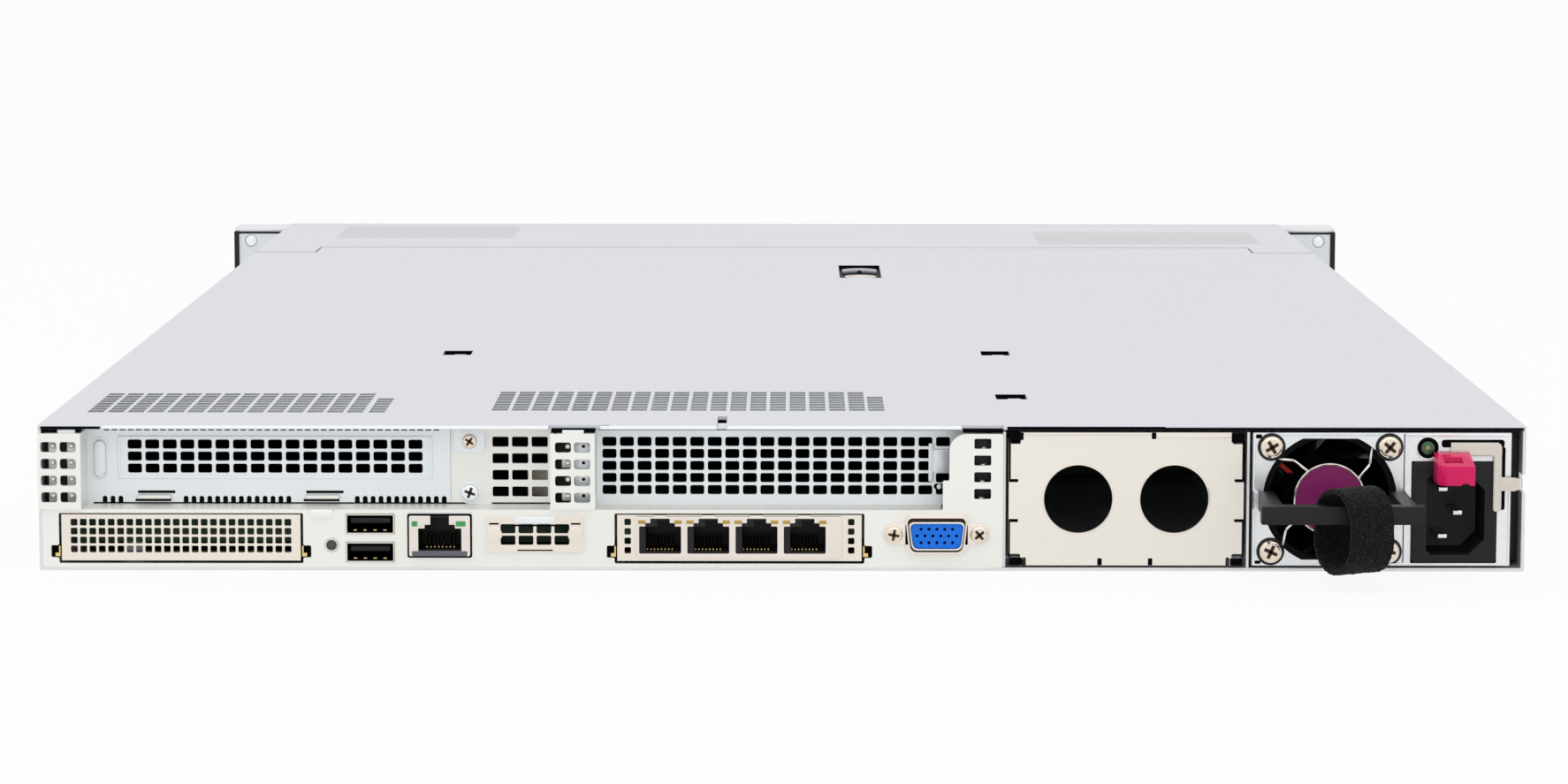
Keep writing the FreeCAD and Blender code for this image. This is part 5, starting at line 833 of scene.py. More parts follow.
class FASTENER_OT_screws(bpy.types.Operator):
    """Cross-recess screws of the panel, the video socket and the supply's fan, and the rail studs, with
    painted shade in the recesses and round the fan screws
    """
    bl_idname = "rack_server.screws"
    bl_label = "Screws"

    panel = ((-91.9, PLATE - 0.8, 36.7, 2.2, 35), (32.8, REAR - 0.6, 10.8, 2.65, 10),
             (57.8, REAR - 0.6, 10.8, 2.65, 50))
    plate = ((-91.9, PLATE, 21.4, 2.65, 20),)
    fan = ((143.0, REAR - 0.2, 5.9, 3.35, 25), (143.0, REAR - 0.2, 36.7, 3.35, 60),
           (177.4, REAR - 0.2, 5.9, 3.35, 5), (177.4, REAR - 0.2, 36.7, 3.35, 40))
    stud_depths = (-263.5, 0.0, 218.5)

    def execute(self, context):
        pattern = self.screw()
        # Painted shade: a dark cross sunk in each screw's recess.
        fill = soften(joined(self.cross(0.6, 0.14, (-0.4, -0.2))), 0.02, 1)
        studs = [soften(bar("x", (side * 218.6, y, 21.4), 3.2, 2.6, 28), 0.5, 3)
                 for side in SIDES for y in self.stud_depths]
        for group, name, finish_name, body, nodes, others in (
                ("panel", "panel_screws", "screw_nickel", "chassis", ["case_screws"], studs),
                ("plate", "plate_screw", "white_zinc", "chassis", [], []),
                ("fan", "fan_screws", "screw_nickel", "power_supply", ["psu_fan_screws"], [])):
            spots = [self.spot(*place) for place in getattr(self, group)]
            dress(group + "_recesses", [copy_of(fill, spot) for spot in spots], "recess_brown", body)
            dress(name, [copy_of(pattern, spot) for spot in spots] + others, finish_name, body, nodes)
        bpy.data.objects.remove(pattern)
        bpy.data.objects.remove(fill)
        # Painted shade: a dark ring round each fan screw.
        screw_shades = [bar("y", (x, REAR - 0.15, z), 4.1, 0.3) for x, _, z, _, _ in self.fan]
        dress("fan_washers", screw_shades, "black_plastic", "power_supply", edge=0.1)
        return {"FINISHED"}

    def spot(self, x, y, z, radius, turn):
        """The matrix that puts the screw pattern at a place, with its radius and its turn in degrees."""
        turned = Matrix.Rotation(math.radians(turn), 4, "Y")
        return Matrix.Translation((x, y, z)) @ turned @ Matrix.Scale(radius, 4)

    def cross(self, half, arm, y):
        """The two blocks of a cross about the pattern's middle."""
        return [block((-half, half), y, (-arm, arm)), block((-arm, arm), y, (-half, half))]

    def screw(self):
        """A pan-head screw of one millimetre radius at the origin, facing the rear, with a cross recess."""
        head = round_off(bar("y", (0, -0.25, 0), 1.0, 0.5, 36), rim(-0.49), 0.3, 4)
        core = bar("y", (0, -0.3, 0), 0.26, 0.5, 12)
        return soften(carve(head, *self.cross(0.62, 0.15, (-0.6, -0.22)), core), 0.025, 1)


class PORT_OT_ports(bpy.types.Operator):
    """Ports of the lower band: lights, contacts, frames and tongues round the CAD sockets"""
    bl_idname = "rack_server.ports"
    bl_label = "Ports"

    usb_feet = (2.5, 10.8)
    jack_start = -41.65
    jack_pitch = 14.1
    jack_wide = 12.2
    jack_steps = ((4.3, 14.2), (2.8, 15.5))
    jack_lights = (-0.4, 10.2)
    uid_x, uid_z = -131.7, 7.5

    def execute(self, context):
        self.usb()
        self.management()
        self.network()
        bezel = hoop(self.uid_x, self.uid_z, span(-0.3, 2), 2.05, 1.45)
        dress("uid_bezel", bezel, "latch_steel")
        lens = bar("y", (self.uid_x, REAR + 1.6, self.uid_z), 1.45, 3.4)
        dress("uid_lens", round_off(lens, rim(REAR), 0.5, 4), "dark_lens", nodes=["uid_light"])
        return {"FINISHED"}

    def usb(self):
        """Two receptacles: thin nickel can, a liner of painted shade inside it, tongue in the upper half and
        contacts below.
        """
        cans = []
        shade_liners = []
        tongues = []
        pads = []
        for foot in self.usb_feet:
            cans.append(cup((-127.5, -113.3), span(-0.3, 13), span(0, 5.9, foot), 0.35, 0.6))
            shade_liners.append(cup((-127.14, -113.66), span(0.3, 12.6), span(0.36, 5.54, foot), 0.25, 0.3))
            tongues.append(soften(block((-126.2, -114.6), span(0.9, 12.3), span(3.1, 4.6, foot)), 0.2))
            pad = block((-125.4, -124.4), span(1.2, 9), span(0.62, 1.1, foot))
            pads.append(repeat(soften(pad, 0.1), 4, (2.9, 0, 0)))
        dress("usb_cans", cans, "bright_nickel", nodes=["usb_ports"])
        dress("usb_liners", shade_liners, "dark_void")
        dress("usb_tongues", tongues, "black_plastic")
        dress("usb_pads", pads, "contact_brass")

    def contacts(self, x, pitch, z, y):
        """A row of eight bent spring wires at the foot of a jack."""
        wire = block(span(0, 0.45, x), y, span(0, 0.4, z))
        shift(wire, "FACE", facing((0, 1, 0)), (0, 0, 3.2))
        return repeat(soften(wire, 0.1, 1), 8, (pitch, 0, 0))

    def management(self):
        """Shielded jack: nickel frame with a stepped mouth, corner lights, white reflector and slate sill."""
        shield = leaf((-109.0, -91.1), (4.3, 16.3), span(-0.75, -0.1), 0.5)
        carve(shield, *blocks(span(-2, 1), ((-106.3, -93.7), (5.8, 12.5)), ((-104.4, -95.6), (12, 13.6)),
                              ((-102.7, -97.3), (13, 17))))
        dress("jack_shield", shield, "bright_nickel", edge=0.15)
        # Painted shade: a dark ring in the gap round the jack's shield.
        border_shade = leaf((-109.5, -90.6), (3.8, 16.8), span(-0.3, -0.05), 0.6, 0.6)
        dress("jack_border", border_shade, "dark_void", edge=0.08)
        rise = (13.1, 14.7)
        lights = blocks(span(-0.95, -0.6), ((-108.2, -106.5), rise), ((-95.3, -92.4), rise))
        dress("jack_lights", lights, "green_light", edge=0.15)
        white = block((-106.3, -104.3), span(-0.9, -0.6), (13.2, 14.6))
        dress("jack_reflector", white, "white_reflector", edge=0.12)
        sill = block((-108.2, -91.9), span(-0.9, 0.4), (4.3, 5.9))
        dress("jack_sill", sill, "slate_plastic", edge=0.3, segments=3)
        dress("jack_contacts", self.contacts(-104.3, 1.15, 6.3, span(3, 11)), "contact_brass")

    def network(self):
        """Nickel frame round four jacks, with stepped mouths, small corner lights and spring wires below."""
        through = span(-3, 2)
        windows = []
        lights = []
        pins = []
        tabs = []
        for index in range(4):
            start = self.jack_start + self.jack_pitch * index
            centre = start + self.jack_wide / 2
            window = block(span(0, self.jack_wide, start), through, (5.2, 13.2))
            windows.append(round_off(window, running("y"), 0.3, 2))
            for half, top in self.jack_steps:
                windows.append(block(span(-half, half, centre), through, (13, top)))
            for near in self.jack_lights:
                lights.append(block(span(near, near + 2.3, start), span(-1.08, -0.6), (13.9, 15.1)))
            pins.append(self.contacts(start + 2.0, 1.05, 5.8, span(2, 10)))
            tabs.append(block(span(4.2, 8.0, start), span(-0.9, 0.6), (16.0, 16.5)))
        shield = block((-42.5, 17.5), span(-1.0, -0.45), (3.7, 16.1))
        dress("network_frame", carve(shield, *windows), "bright_nickel", edge=0.12)
        dress("network_lights", lights, "amber_light", edge=0.2)
        dress("network_pins", pins, "contact_brass")
        dress("network_tabs", tabs, "bright_nickel", edge=0.15)


class PORT_OT_video(bpy.types.Operator):
    """Video socket: lobed flange, tapered shell and blue insert with three rows of holes"""
    bl_idname = "rack_server.video_socket"
    bl_label = "Video socket"

    x, z = 45.3, 10.8
    pin_pitch = 2.3
    row_pitch = 2.0

    def execute(self, context):
        ridge = carve(self.hood(18.4, 11.2, span(-1.9, -0.4)), self.hood(17.2, 9.9, span(-3, 0.5)))
        shell = carve(self.hood(16.6, 8.3, span(-4.0, -0.5)), self.hood(15.8, 7.4, span(-4.5, 0.5)))
        metal = [leaf((29.7, 60.9), (7.7, 13.9), span(-0.6, 0), 3.05, steps=8),
                 leaf((36.0, 54.6), (4.9, 16.7), span(-0.6, 0), 2.4, steps=6), ridge, shell]
        dress("video_metal", metal, "bright_nickel", nodes=["video_shell"], edge=0.15)
        # Painted shade: a dark leaf deep in the socket's well.
        dress("video_well", self.hood(17.1, 9.8, span(-0.75, -0.55)), "recess_brown", edge=0.04)
        holes = []
        for row, count in ((1, 5), (0, 6), (-1, 5)):
            start = self.x - (count - 1) / 2 * self.pin_pitch
            hole = bar("y", (start, REAR - 3, self.z + row * self.row_pitch), 0.5, 5, 12)
            holes.append(repeat(hole, count, (self.pin_pitch, 0, 0)))
        insert = carve(self.hood(15.6, 7.2, span(-3.2, 12)), *holes)
        dress("video_face", insert, "blue_plastic", nodes=["video_insert"], edge=0.12)
        return {"FINISHED"}

    def hood(self, wide, high, y):
        """A block narrower at its foot, with rounded corners."""
        shape = block(span(-wide / 2, wide / 2, self.x), y, span(-high / 2, high / 2, self.z))
        return round_off(pinch(shape, (0, 0, -1), (0.87, 1, 1)), running("y"), 1.5, 4)


class SUPPLY_OT_fan(bpy.types.Operator):
    """Fan of the power supply: frame, motor hub with a plain disc, bent guard arms and swept blades"""
    bl_idname = "rack_server.supply_fan"
    bl_label = "Supply fan"

    x, z = 160.2, 21.3
    arm_turns = (128, 36, 211, 301)
    arm_points = ((10.4, 0, 0.9), (15.5, 5, 1.3), (19.6, 15, 1.5))
    blade_twist, blade_bend, blade_pitch = (math.radians(angle) for angle in (28, 50, -42))
    blade_radius = 13.2

    def execute(self, context):
        shell = block(span(-19.7, 19.7, self.x), span(1.1, 29), (2.7, 39.9))
        carve(shell, self.disc(10, 17.8, 60, 64))
        hub = round_off(self.disc(2.7, 10.6, 3.4, 48), rim(REAR + 1.2), 0.4)
        dress("fan_frame", [shell, hub], "fan_black", "power_supply", ["psu_fan_frame"])
        dress("hub_disc", self.disc(0.9, 9.9, 0.3, 64), "hub_disc", "power_supply", edge=0.08)
        ring = carve(self.disc(0.8, 10.55, 0.6, 64), self.disc(0, 9.95, 6, 64))
        dress("hub_ring", ring, "bright_nickel", "power_supply", edge=0.15)
        arms = [piece for turn in self.arm_turns for piece in self.arm(turn)]
        dress("guard_arms", arms, "bright_nickel", "power_supply")
        leads = [rod((143.6 + step, REAR + 2.6, 32.9), (148.4 + step, REAR + 3.4, 28.6), 0.33)
                 for step in range(2)]
        dress("fan_leads", leads, "red_wire", "power_supply")
        core = soften(self.disc(14, 9.7, 17.5, 48), 0.6, 3)
        blades = self.blades(context.scene.supply_looks.blades)
        dress("fan_blades", [core, *blades], "gloss_black", "supply_fan", ["psu_fan_rotor"])
        return {"FINISHED"}

    def disc(self, depth, radius, long, sides):
        """A round bar about the fan's axis, with its middle at a depth."""
        return bar("y", (self.x, REAR + depth, self.z), radius, long, sides)

    def arm(self, turn):
        """The two rods of an arm from the hub's ring out to a corner of the opening, leaning as it goes."""
        ends = []
        for radius, lean, depth in self.arm_points:
            angle = math.radians(turn + lean)
            ends.append((self.x + radius * math.cos(angle), REAR + depth, self.z + radius * math.sin(angle)))
        return [rod(start, end, 0.45) for start, end in zip(ends, ends[1:])]

    def blades(self, count):
        """Twisted and bent blades round the axis."""
        pattern = block((-0.5, 0.5), (-7.4, 7.4), (-4.6, 4.6))
        with editing(pattern, "EDGE", every):
            bpy.ops.mesh.subdivide(number_cuts=5)
        applied(pattern, "SIMPLE_DEFORM", deform_method="TWIST", deform_axis="Z", angle=self.blade_twist)
        applied(pattern, "SIMPLE_DEFORM", deform_method="BEND", deform_axis="Z", angle=self.blade_bend)
        hub = Matrix.Translation((self.x, REAR + 13, self.z))
        pitched = Matrix.Translation((0, 0, self.blade_radius)) @ Matrix.Rotation(self.blade_pitch, 4, "Z")
        made = []
        for index in range(count):
            turned = Matrix.Rotation(2 * math.pi * index / count, 4, "Y")
            made.append(copy_of(pattern, hub @ turned @ pitched))
        bpy.data.objects.remove(pattern)
        return made


class SUPPLY_OT_face(bpy.types.Operator):
    """Inlet, release latch, status light, handle and folded lips of the power supply"""
    bl_idname = "rack_server.supply_face"
    bl_label = "Supply face pieces"

    light_x, light_z = 188.6, 36.5
    pin_places = ((193.8, 23.8), (193.8, 9.8), (198.2, 16.8))
    # Places of painted shade: dark leaves in the face's seam, the slots by the latch and two corners of the
    # lips.
    gaps = (
        ((181.65, 181.95), (2.6, 40.6), 0),
        ((192.6, 211.0), (36.6, 38.9), 0.8),
        ((209.6, 211.3), (18.2, 36.8), 0.6),
        ((138.4, 140.2), (39.2, 40.4), 0.4),
        ((138.4, 140.2), (2.2, 3.2), 0.4),
    )
    strip_depth = (-354.8, -353.95)
    strip_shade_depth = (-354.84, -354.7)
    hook_centre = (213, -353, 26)
    hook_bends = ((212.0, 214.5, -0.7, 1.0), (214.5, 217, 0.0, 0.8), (216.0, 217, 3.5, 0.8))
    tab_rear = -367.3

    def execute(self, context):
        self.inlet()
        self.latch_strip()
        self.release_tab()
        bail = sheet_copy("psu_handle")
        dress("supply_bail", bail, "black_plastic", "supply_handle", ["psu_handle"], 0.6, 3)
        self.status_light()
        self.folds()
        return {"FINISHED"}

    def status_light(self):
        """Pale bezel, dark lens, shaded ring and a dim core with one lit dot."""
        def round_bar(depth, radius, long, sides):
            return bar("y", (self.light_x, REAR + depth, self.light_z), radius, long, sides)

        bezel = hoop(self.light_x, self.light_z, span(-0.45, 0), 3.55, 3.1)
        dress("status_bezel", bezel, "white_zinc", "power_supply")
        lens = round_bar(1.9, 3.0, 4.0, 40)
        dress("status_lens", lens, "dark_lens", "power_supply", ["psu_status_light"], 0.4, 3)
        dress("status_core", round_bar(-0.15, 2.0, 0.2, 32), "dim_green", "power_supply", edge=0.08)
        shade = hoop(self.light_x, self.light_z, span(-0.32, 0), 3.1, 1.9)
        dress("status_shade", shade, "dark_void", "power_supply")
        dress("status_dot", round_bar(-0.25, 0.6, 0.2, 20), "amber_light", "power_supply", edge=0.06)

    def folds(self):
        """Folded lips round the face, and painted shade in the seam between its halves and in the slots
        behind the latch.
        """
        lips = blocks(span(-0.4, 0.6), ((146.0, 174.5), (40.2, 40.75)), ((137.7, 138.35), (3.0, 39.8)),
                      ((146.0, 209.0), (1.95, 2.5)))
        lips.append(block((182.3, 212.6), span(-0.6, 0.6), (40.0, 40.75)))
        lips.append(block((212.2, 212.9), span(-0.5, 0.6), (3.0, 23.0)))
        dress("face_lips", lips, "zinc_plate", "power_supply", edge=0.22, segments=3)
        gaps = [leaf(x, z, span(-0.05, 0), corner) for x, z, corner in self.gaps]
        dress("face_gaps", gaps, "dark_void", "power_supply")

    def inlet(self):
        """Mains inlet: rounded body, cavity with two cut corners and three blades."""
        body = round_off(block((184.0, 209.0), span(-0.25, 26), (2.6, 32.5)), running("y"), 1.4, 5)
        cavity = block((188.5, 205.4), span(-3, 17), (5.0, 28.6))
        round_off(cavity, running("y", where=lambda spot: spot.x > 200), 4.6, 1)
        round_off(cavity, running("y", where=lambda spot: spot.x < 189), 1.3, 1)
        dress("inlet_body", carve(body, cavity), "black_plastic", "power_supply", ["psu_inlet"], 0.45, 3)
        pins = [soften(block(span(-1.5, 1.5, x), span(4, 17), span(-0.75, 0.75, z)), 0.4, 3)
                for x, z in self.pin_places]
        dress("inlet_pins", pins, "bright_nickel", "power_supply", ["psu_inlet_pins"])

    def latch_strip(self):
        """Bent metal strip of the release latch: top, arm down the side and a hook that bends forward."""
        strip = block((195.2, 210.1), self.strip_depth, (34.2, 38.2))
        round_off(strip, running("y", where=lambda spot: spot.x > 209 and spot.z > 38), 1.6, 5)
        arm = block((207.7, 210.1), self.strip_depth, (17.9, 35.0))
        round_off(arm, running("y", where=lambda spot: spot.z < 18), 0.9, 4)
        hook = block((209.4, 216.8), (-354.7, -354.0), (24.0, 28.0))
        with editing(hook, "EDGE", running("x")):
            bpy.ops.mesh.subdivide(number_cuts=4)
        for start, end, deep, high in self.hook_bends:
            with editing(hook, "VERT", lambda corner: start < corner.co.x / MM < end):
                bpy.ops.transform.translate(value=(0, deep * MM, 0))
                bpy.ops.transform.resize(value=(1, 1, high), center_override=Vector(self.hook_centre) * MM)
        carve(strip, arm, hook, operation="UNION")
        dress("latch_strip", strip, "latch_steel", "supply_latch", ["psu_latch_arm"], 0.28, 3)
        shades = blocks(self.strip_shade_depth, ((195.6, 207.6), (34.25, 34.55)),
                        ((207.75, 208.0), (18.4, 34.4)))
        dress("strip_shades", shades, "dull_tan", "supply_latch", edge=0.05)

    def release_tab(self):
        """Pink tab: sloped end, one rounded corner, a slot with painted shade at its bottom and a nick."""
        tab = block((190.2, 200.6), (self.tab_rear, -354.8), (27.2, 35.4))

        def at_end(item):
            return middle(item).y < self.tab_rear + 0.3

        shift(tab, "EDGE", lambda edge: at_end(edge) and middle(edge).z > 35, (0, 0, -2.6))
        corner = running("z", where=lambda spot: spot.x < 191)
        round_off(tab, lambda edge: at_end(edge) and corner(edge), 2.6)
        slot = block((192.3, 197.6), (-364.2, -359.0), (26, 38))
        nick = bar("y", (197.9, -367, 26.7), 1.3, 6, 16)
        carve(tab, slot, nick)
        dress("release_tab", tab, "pink_plastic", "supply_latch", ["psu_latch_tab"], 0.7, 3)
        # Painted shade: a dark block at the bottom of the tab's slot.
        slot_shade = block((192.4, 197.5), (-364.1, -359.1), (27.6, 32.4))
        dress("tab_plug", slot_shade, "dark_void", "supply_latch", edge=0.2)


class SUPPLY_OT_strap(bpy.types.Operator):
    """Webbing loop that hangs over the handle's bar"""
    bl_idname = "rack_server.cable_strap"
    bl_label = "Cable strap"

    wide = 14.5
    thick = 1.6
    edge = 0.3
    turn = 9.2
    straight = 5.0
    lean = 1.5
    yaw = math.radians(28)

    def execute(self, context):
        low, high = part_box("cable_strap")
        centre = (low + high) / 2 / MM - Vector((self.lean, 0, 0))
        strap = added(bpy.ops.mesh.primitive_circle_add, vertices=72, radius=self.turn * MM,
                      rotation=TURNS["x"], location=(-self.wide / 2 * MM, 0, 0))
        for way in SIDES:
            shift(strap, "VERT", lambda corner: way * corner.co.z > -1e-7, (0, 0, way * self.straight / 2))
        with editing(strap, "EDGE", every):
            bpy.ops.mesh.extrude_region_move(TRANSFORM_OT_translate={"value": (self.wide * MM, 0, 0)})
        mended(strap)
        with editing(strap, "EDGE", running("x")):
            bpy.ops.mesh.subdivide(number_cuts=22)
        applied(strap, "SOLIDIFY", thickness=(self.thick - self.edge) * MM, offset=0)
        soften(strap, self.edge)
        applied(strap, "SUBSURF", levels=1, render_levels=1)
        fuzz = bpy.data.textures.new("strap_fuzz", "CLOUDS")
        fuzz.noise_scale = 0.0007
        applied(strap, "DISPLACE", texture=fuzz, strength=0.0008, mid_level=0.45, texture_coords="LOCAL")
        strap.data.transform(in_metres(Matrix.Translation(centre) @ Matrix.Rotation(self.yaw, 4, "Z")))
        dress("strap_loop", strap, "strap_webbing", "supply_handle", ["cable_strap"])
        return {"FINISHED"}


class COVER_OT_latch(bpy.types.Operator):
    """Latch of the top cover: dark plate, arched grey band with painted shade in its notch, round lock and
    painted shade at the well's far edge
    """
    bl_idname = "rack_server.cover_latch"
    bl_label = "Cover latch"

    arch_radius = 24.0
    arch_stretch = 5.0
    arch_half = 6.6

    def execute(self, context):
        low, high = (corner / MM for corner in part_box("cover_latch"))
        middle_x = (low.x + high.x) / 2
        plate = round_off(block((low.x, high.x), (low.y, high.y), (40.1, 41.0)), running("z"), 1.6, 4)
        dress("latch_plate", plate, "fan_black", "cover_latch", ["cover_latch"], 0.25, 3)
        band = self.band(middle_x, low.y + 36.5)
        dress("latch_band", band, "band_steel", "cover_latch", edge=0.5, segments=4)
        # Painted shade: a dark block in the band's notch and a dark lining along the well's far edge.
        notch = block(span(-0.9, 0.9, middle_x), span(34.8, 35.9, low.y), (41.4, 42.2))
        dress("latch_notch", notch, "dark_void", "cover_latch", edge=0.15)
        well_shade = block((low.x + 0.1, high.x - 0.1), span(1.4, 2.25, high.y), (40.3, 42.7))
        dress("latch_lining", well_shade, "dark_void", "top_cover", edge=0.1)
        lock = sink(bar("z", (middle_x, low.y + 7.0, 41.8), 6.1, 1.8, 48), (0, 0, 1), 1.2, (0, 0, -0.4))
        dress("latch_lock", lock, "latch_steel", "cover_latch", edge=0.3, segments=3)
        return {"FINISHED"}

    def band(self, x, y):
        """An arched cross bar, spun both ways from its middle and stretched so that its ends reach back."""
        sweep = math.asin(self.arch_half / self.arch_radius)
        pivot = Vector((x, y - self.arch_radius, 0)) * MM
        arch = block(span(-0.01, 0.01, x), span(-0.3, 1.6, y), (40.9, 42.4))
        for side in SIDES:
            with editing(arch, "FACE", facing((side, 0, 0))):
                bpy.ops.mesh.spin(steps=9, angle=side * sweep, axis=(0, 0, 1), center=pivot)
        mended(arch)
        crown = Vector((x, y, 41.8)) * MM
        with editing(arch, "VERT", every):
            bpy.ops.transform.resize(value=(1, self.arch_stretch, 1), center_override=crown)
        return arch


class COVER_OT_seams(bpy.types.Operator):
    """Painted shade in the front panel's seam, the cover's slots, the vents' far edges and under the rear
    lip; the slots' tabs and the lip's folds, painted pale as a highlight
    """
    bl_idname = "rack_server.cover_seams"
    bl_label = "Cover seams and slots"

    seam_rise = (41.7, 42.45)
    slots = ((-112.7, -167.5), (65.8, -167.5), (65.6, -288.5))
    vent_wide = 4.78
    vent_long = 5.0
    vent_pitch = (5.95, 6.07)
    vent_grids = ((-207.265, -322.745, 14, 8), (-123.41, -322.745, 1, 6), (-86.94, -317.745, 19, 8),
                  (25.89, -317.745, 1, 6))

    def execute(self, context):
        # Painted shade: dark strips in the seams round the front panel.
        seam_shade = [block((-192.4, 192.4), (236.55, 237.05), self.seam_rise)]
        for side in SIDES:
            seam_shade.append(block(sided(side, 192.35, 192.85), (212.6, 237.0), self.seam_rise))
            seam_shade.append(block(sided(side, 192.4, 217.0), (212.55, 213.05), self.seam_rise))
        dress("panel_seam", seam_shade, "dark_void", edge=0.05)
        # Painted shade: dark floors and far walls in the cover's slots.
        floor_shades = []
        tabs = []
        for x, y in self.slots:
            floor_shades.append(block(span(0, 9.4, x), span(0, 13.0, y), (40.6, 41.1)))
            floor_shades.append(block(span(0.05, 9.35, x), span(12.7, 13.05, y), (41.0, 42.7)))
            tabs.append(soften(block(span(3.6, 7.6, x), span(5.6, 6.6, y), (41.7, 42.25)), 0.15))
            tabs.append(soften(block(span(6.9, 7.6, x), span(-0.1, 5.8, y), (41.65, 42.1)), 0.15))
        dress("slot_floors", floor_shades, "dark_void", "top_cover")
        dress("slot_tabs", tabs, "cover_steel", "top_cover")
        self.vents()
        self.lip()
        return {"FINISHED"}

    def vents(self):
        """Painted shade along the far edges of the cover's punched vents."""
        grids = []
        for x, y, columns, rows in self.vent_grids:
            far_end = span(-0.14, 0.02, y + self.vent_long)
            edge = block(span(0.04, self.vent_wide - 0.04, x), far_end, (42.64, 42.75))
            row = repeat(edge, columns, (self.vent_pitch[0], 0, 0))
            grids.append(repeat(row, rows, (0, self.vent_pitch[1], 0)))
        dress("vent_edges", grids, "slate_plastic", "top_cover")

    def lip(self):
        """Painted shade under the cover's rear edge, in dashes at the spring fingers, a line and gaps; and
        the edge's folds, painted paler than the cover as a highlight.
        """
        depth = span(0.5, 1.2)
        finger_shade = soften(block((-198.0, -196.4), depth, (41.2, 41.65)), 0.1, 1)
        line = soften(block((-53.4, 52.0), depth, (41.4, 41.65)), 0.05, 1)
        shades = [repeat(finger_shade, 42, (2.35, 0, 0)), line]
        for x, top in (((-216.4, -199.0), 42.4), ((65.8, 112.0), 42.6), ((111.9, 216.6), 42.35)):
            shades.append(leaf(x, (41.65, top), span(-0.05, 0.02), 0.1))
        dress("lip_shades", shades, "dark_void", "top_cover")
        # Painted highlight: the folds are a paler metal than the cover's own plating.
        folds = [block(x, span(-0.15, 0.3), (41.68, 42.66))
                 for x in ((-198.4, -68.2), (-53.0, -19.1), (-16.0, 52.4))]
        dress("lip_folds", folds, "white_zinc", "top_cover", edge=0.12, segments=3)


class EAR_OT_details(bpy.types.Operator):
    """Screw tips in the rack ears, the ears' dark edges, a strip of painted shade under each top cap, and the
    caps
    """
    bl_idname = "rack_server.ear_details"
    bl_label = "Ear details"

    tip_x = 232.55
    tip_heights = (5.5, 37.25)

    def execute(self, context):
        tips = []
        edges = []
        caps = []
        for side in SIDES:
            for z in self.tip_heights:
                tips.append(soften(bar("y", (side * self.tip_x, 332.6, z), 2.45, 1.8), 0.4, 4))
            edges.append(block(sided(side, 237.7, 239.8), (330.6, 333.4), (1.4, 41.3)))
            # Painted shade: a dark strip under each cap's rear edge.
            edges.append(block(sided(side, 217.5, 237.8), (331.2, 331.6), (40.3, 41.25)))
            cap = block(sided(side, 217.4, 239.7), (331.4, 353.3), (41.25, 42.7))
            caps.append(round_off(cap, running("z"), 0.8))
        dress("ear_screw_tips", tips, "white_zinc")
        dress("ear_edges", edges, "black_plastic", edge=0.2, segments=3)
        dress("ear_caps", caps, "chassis_steel", edge=0.3, segments=3)
        return {"FINISHED"}


class FRONT_OT_details(bpy.types.Operator):
    """Front of the server: lever buttons and lights of the drives, power button ring, socket and lights"""
    bl_idname = "rack_server.front_details"
    bl_label = "Front details"

    face = 349.5
    button_x = 207.0
    light_heights = (20.0, 15.5, 11.0)
    socket_x = (180.5, 193.9)
    socket_z = (17.0, 22.6)
    drive_feet = {1: 21.6, 2: 2.2}

    def execute(self, context):
        for number, foot in self.drive_feet.items():
            self.drive(number, foot)
        ring = hoop(self.button_x, 30.0, span(-0.2, 0.5, self.face), 5.6, 4.4)
        dress("button_ring", ring, "latch_steel")
        lights = [bar("y", (self.button_x, self.face + 0.1, z), 1.0, 0.6, 24) for z in self.light_heights]
        dress("front_lights", lights, "green_light", edge=0.2, segments=3)
        self.socket()
        return {"FINISHED"}

    def socket(self):
        """A receptacle beside the button: nickel rim, painted shade in its well, and tongue."""
        (left, right), (foot, top) = self.socket_x, self.socket_z

        def within(margin, y):
            return block((left + margin, right - margin), y, (foot + margin, top - margin))

        edging = carve(within(0, span(-0.1, 0.4, self.face)), within(0.5, span(-10, 10, self.face)))
        dress("front_socket_rim", edging, "bright_nickel", edge=0.12)
        dress("front_socket_well", within(0.3, span(-0.05, 0.05, self.face)), "dark_void", edge=0.02)
        tongue = block((left + 1.2, right - 1.2), span(0, 0.3, self.face), (foot + 3.0, top - 1.0))
        dress("front_socket_tongue", tongue, "blue_plastic", edge=0.1)

    def drive(self, number, foot):
        """Release button, grip slits filled with painted shade and two lights of one drive's lever."""
        body = f"drive_{number}_lever"
        button = block((-197.4, -191.6), (351.6, 352.75), span(3.4, 14.0, foot))
        round_off(button, running("y"), 1.0, 4)
        dress(f"drive_button_{number}", button, "slate_plastic", body, edge=0.3, segments=3)
        slit = block((-184.6, -183.5), (350.9, 351.08), span(4.6, 12.8, foot))
        round_off(slit, running("y"), 0.4)
        dress(f"drive_slits_{number}", repeat(slit, 14, (2.2, 0, 0)), "dark_void", body)
        lamps = [bar("y", (-141.5, 352.2, foot + height), 0.9, 0.5, 20) for height in (11.5, 6.9)]
        dress(f"drive_lamps_{number}", lamps, "green_light", body, edge=0.15)


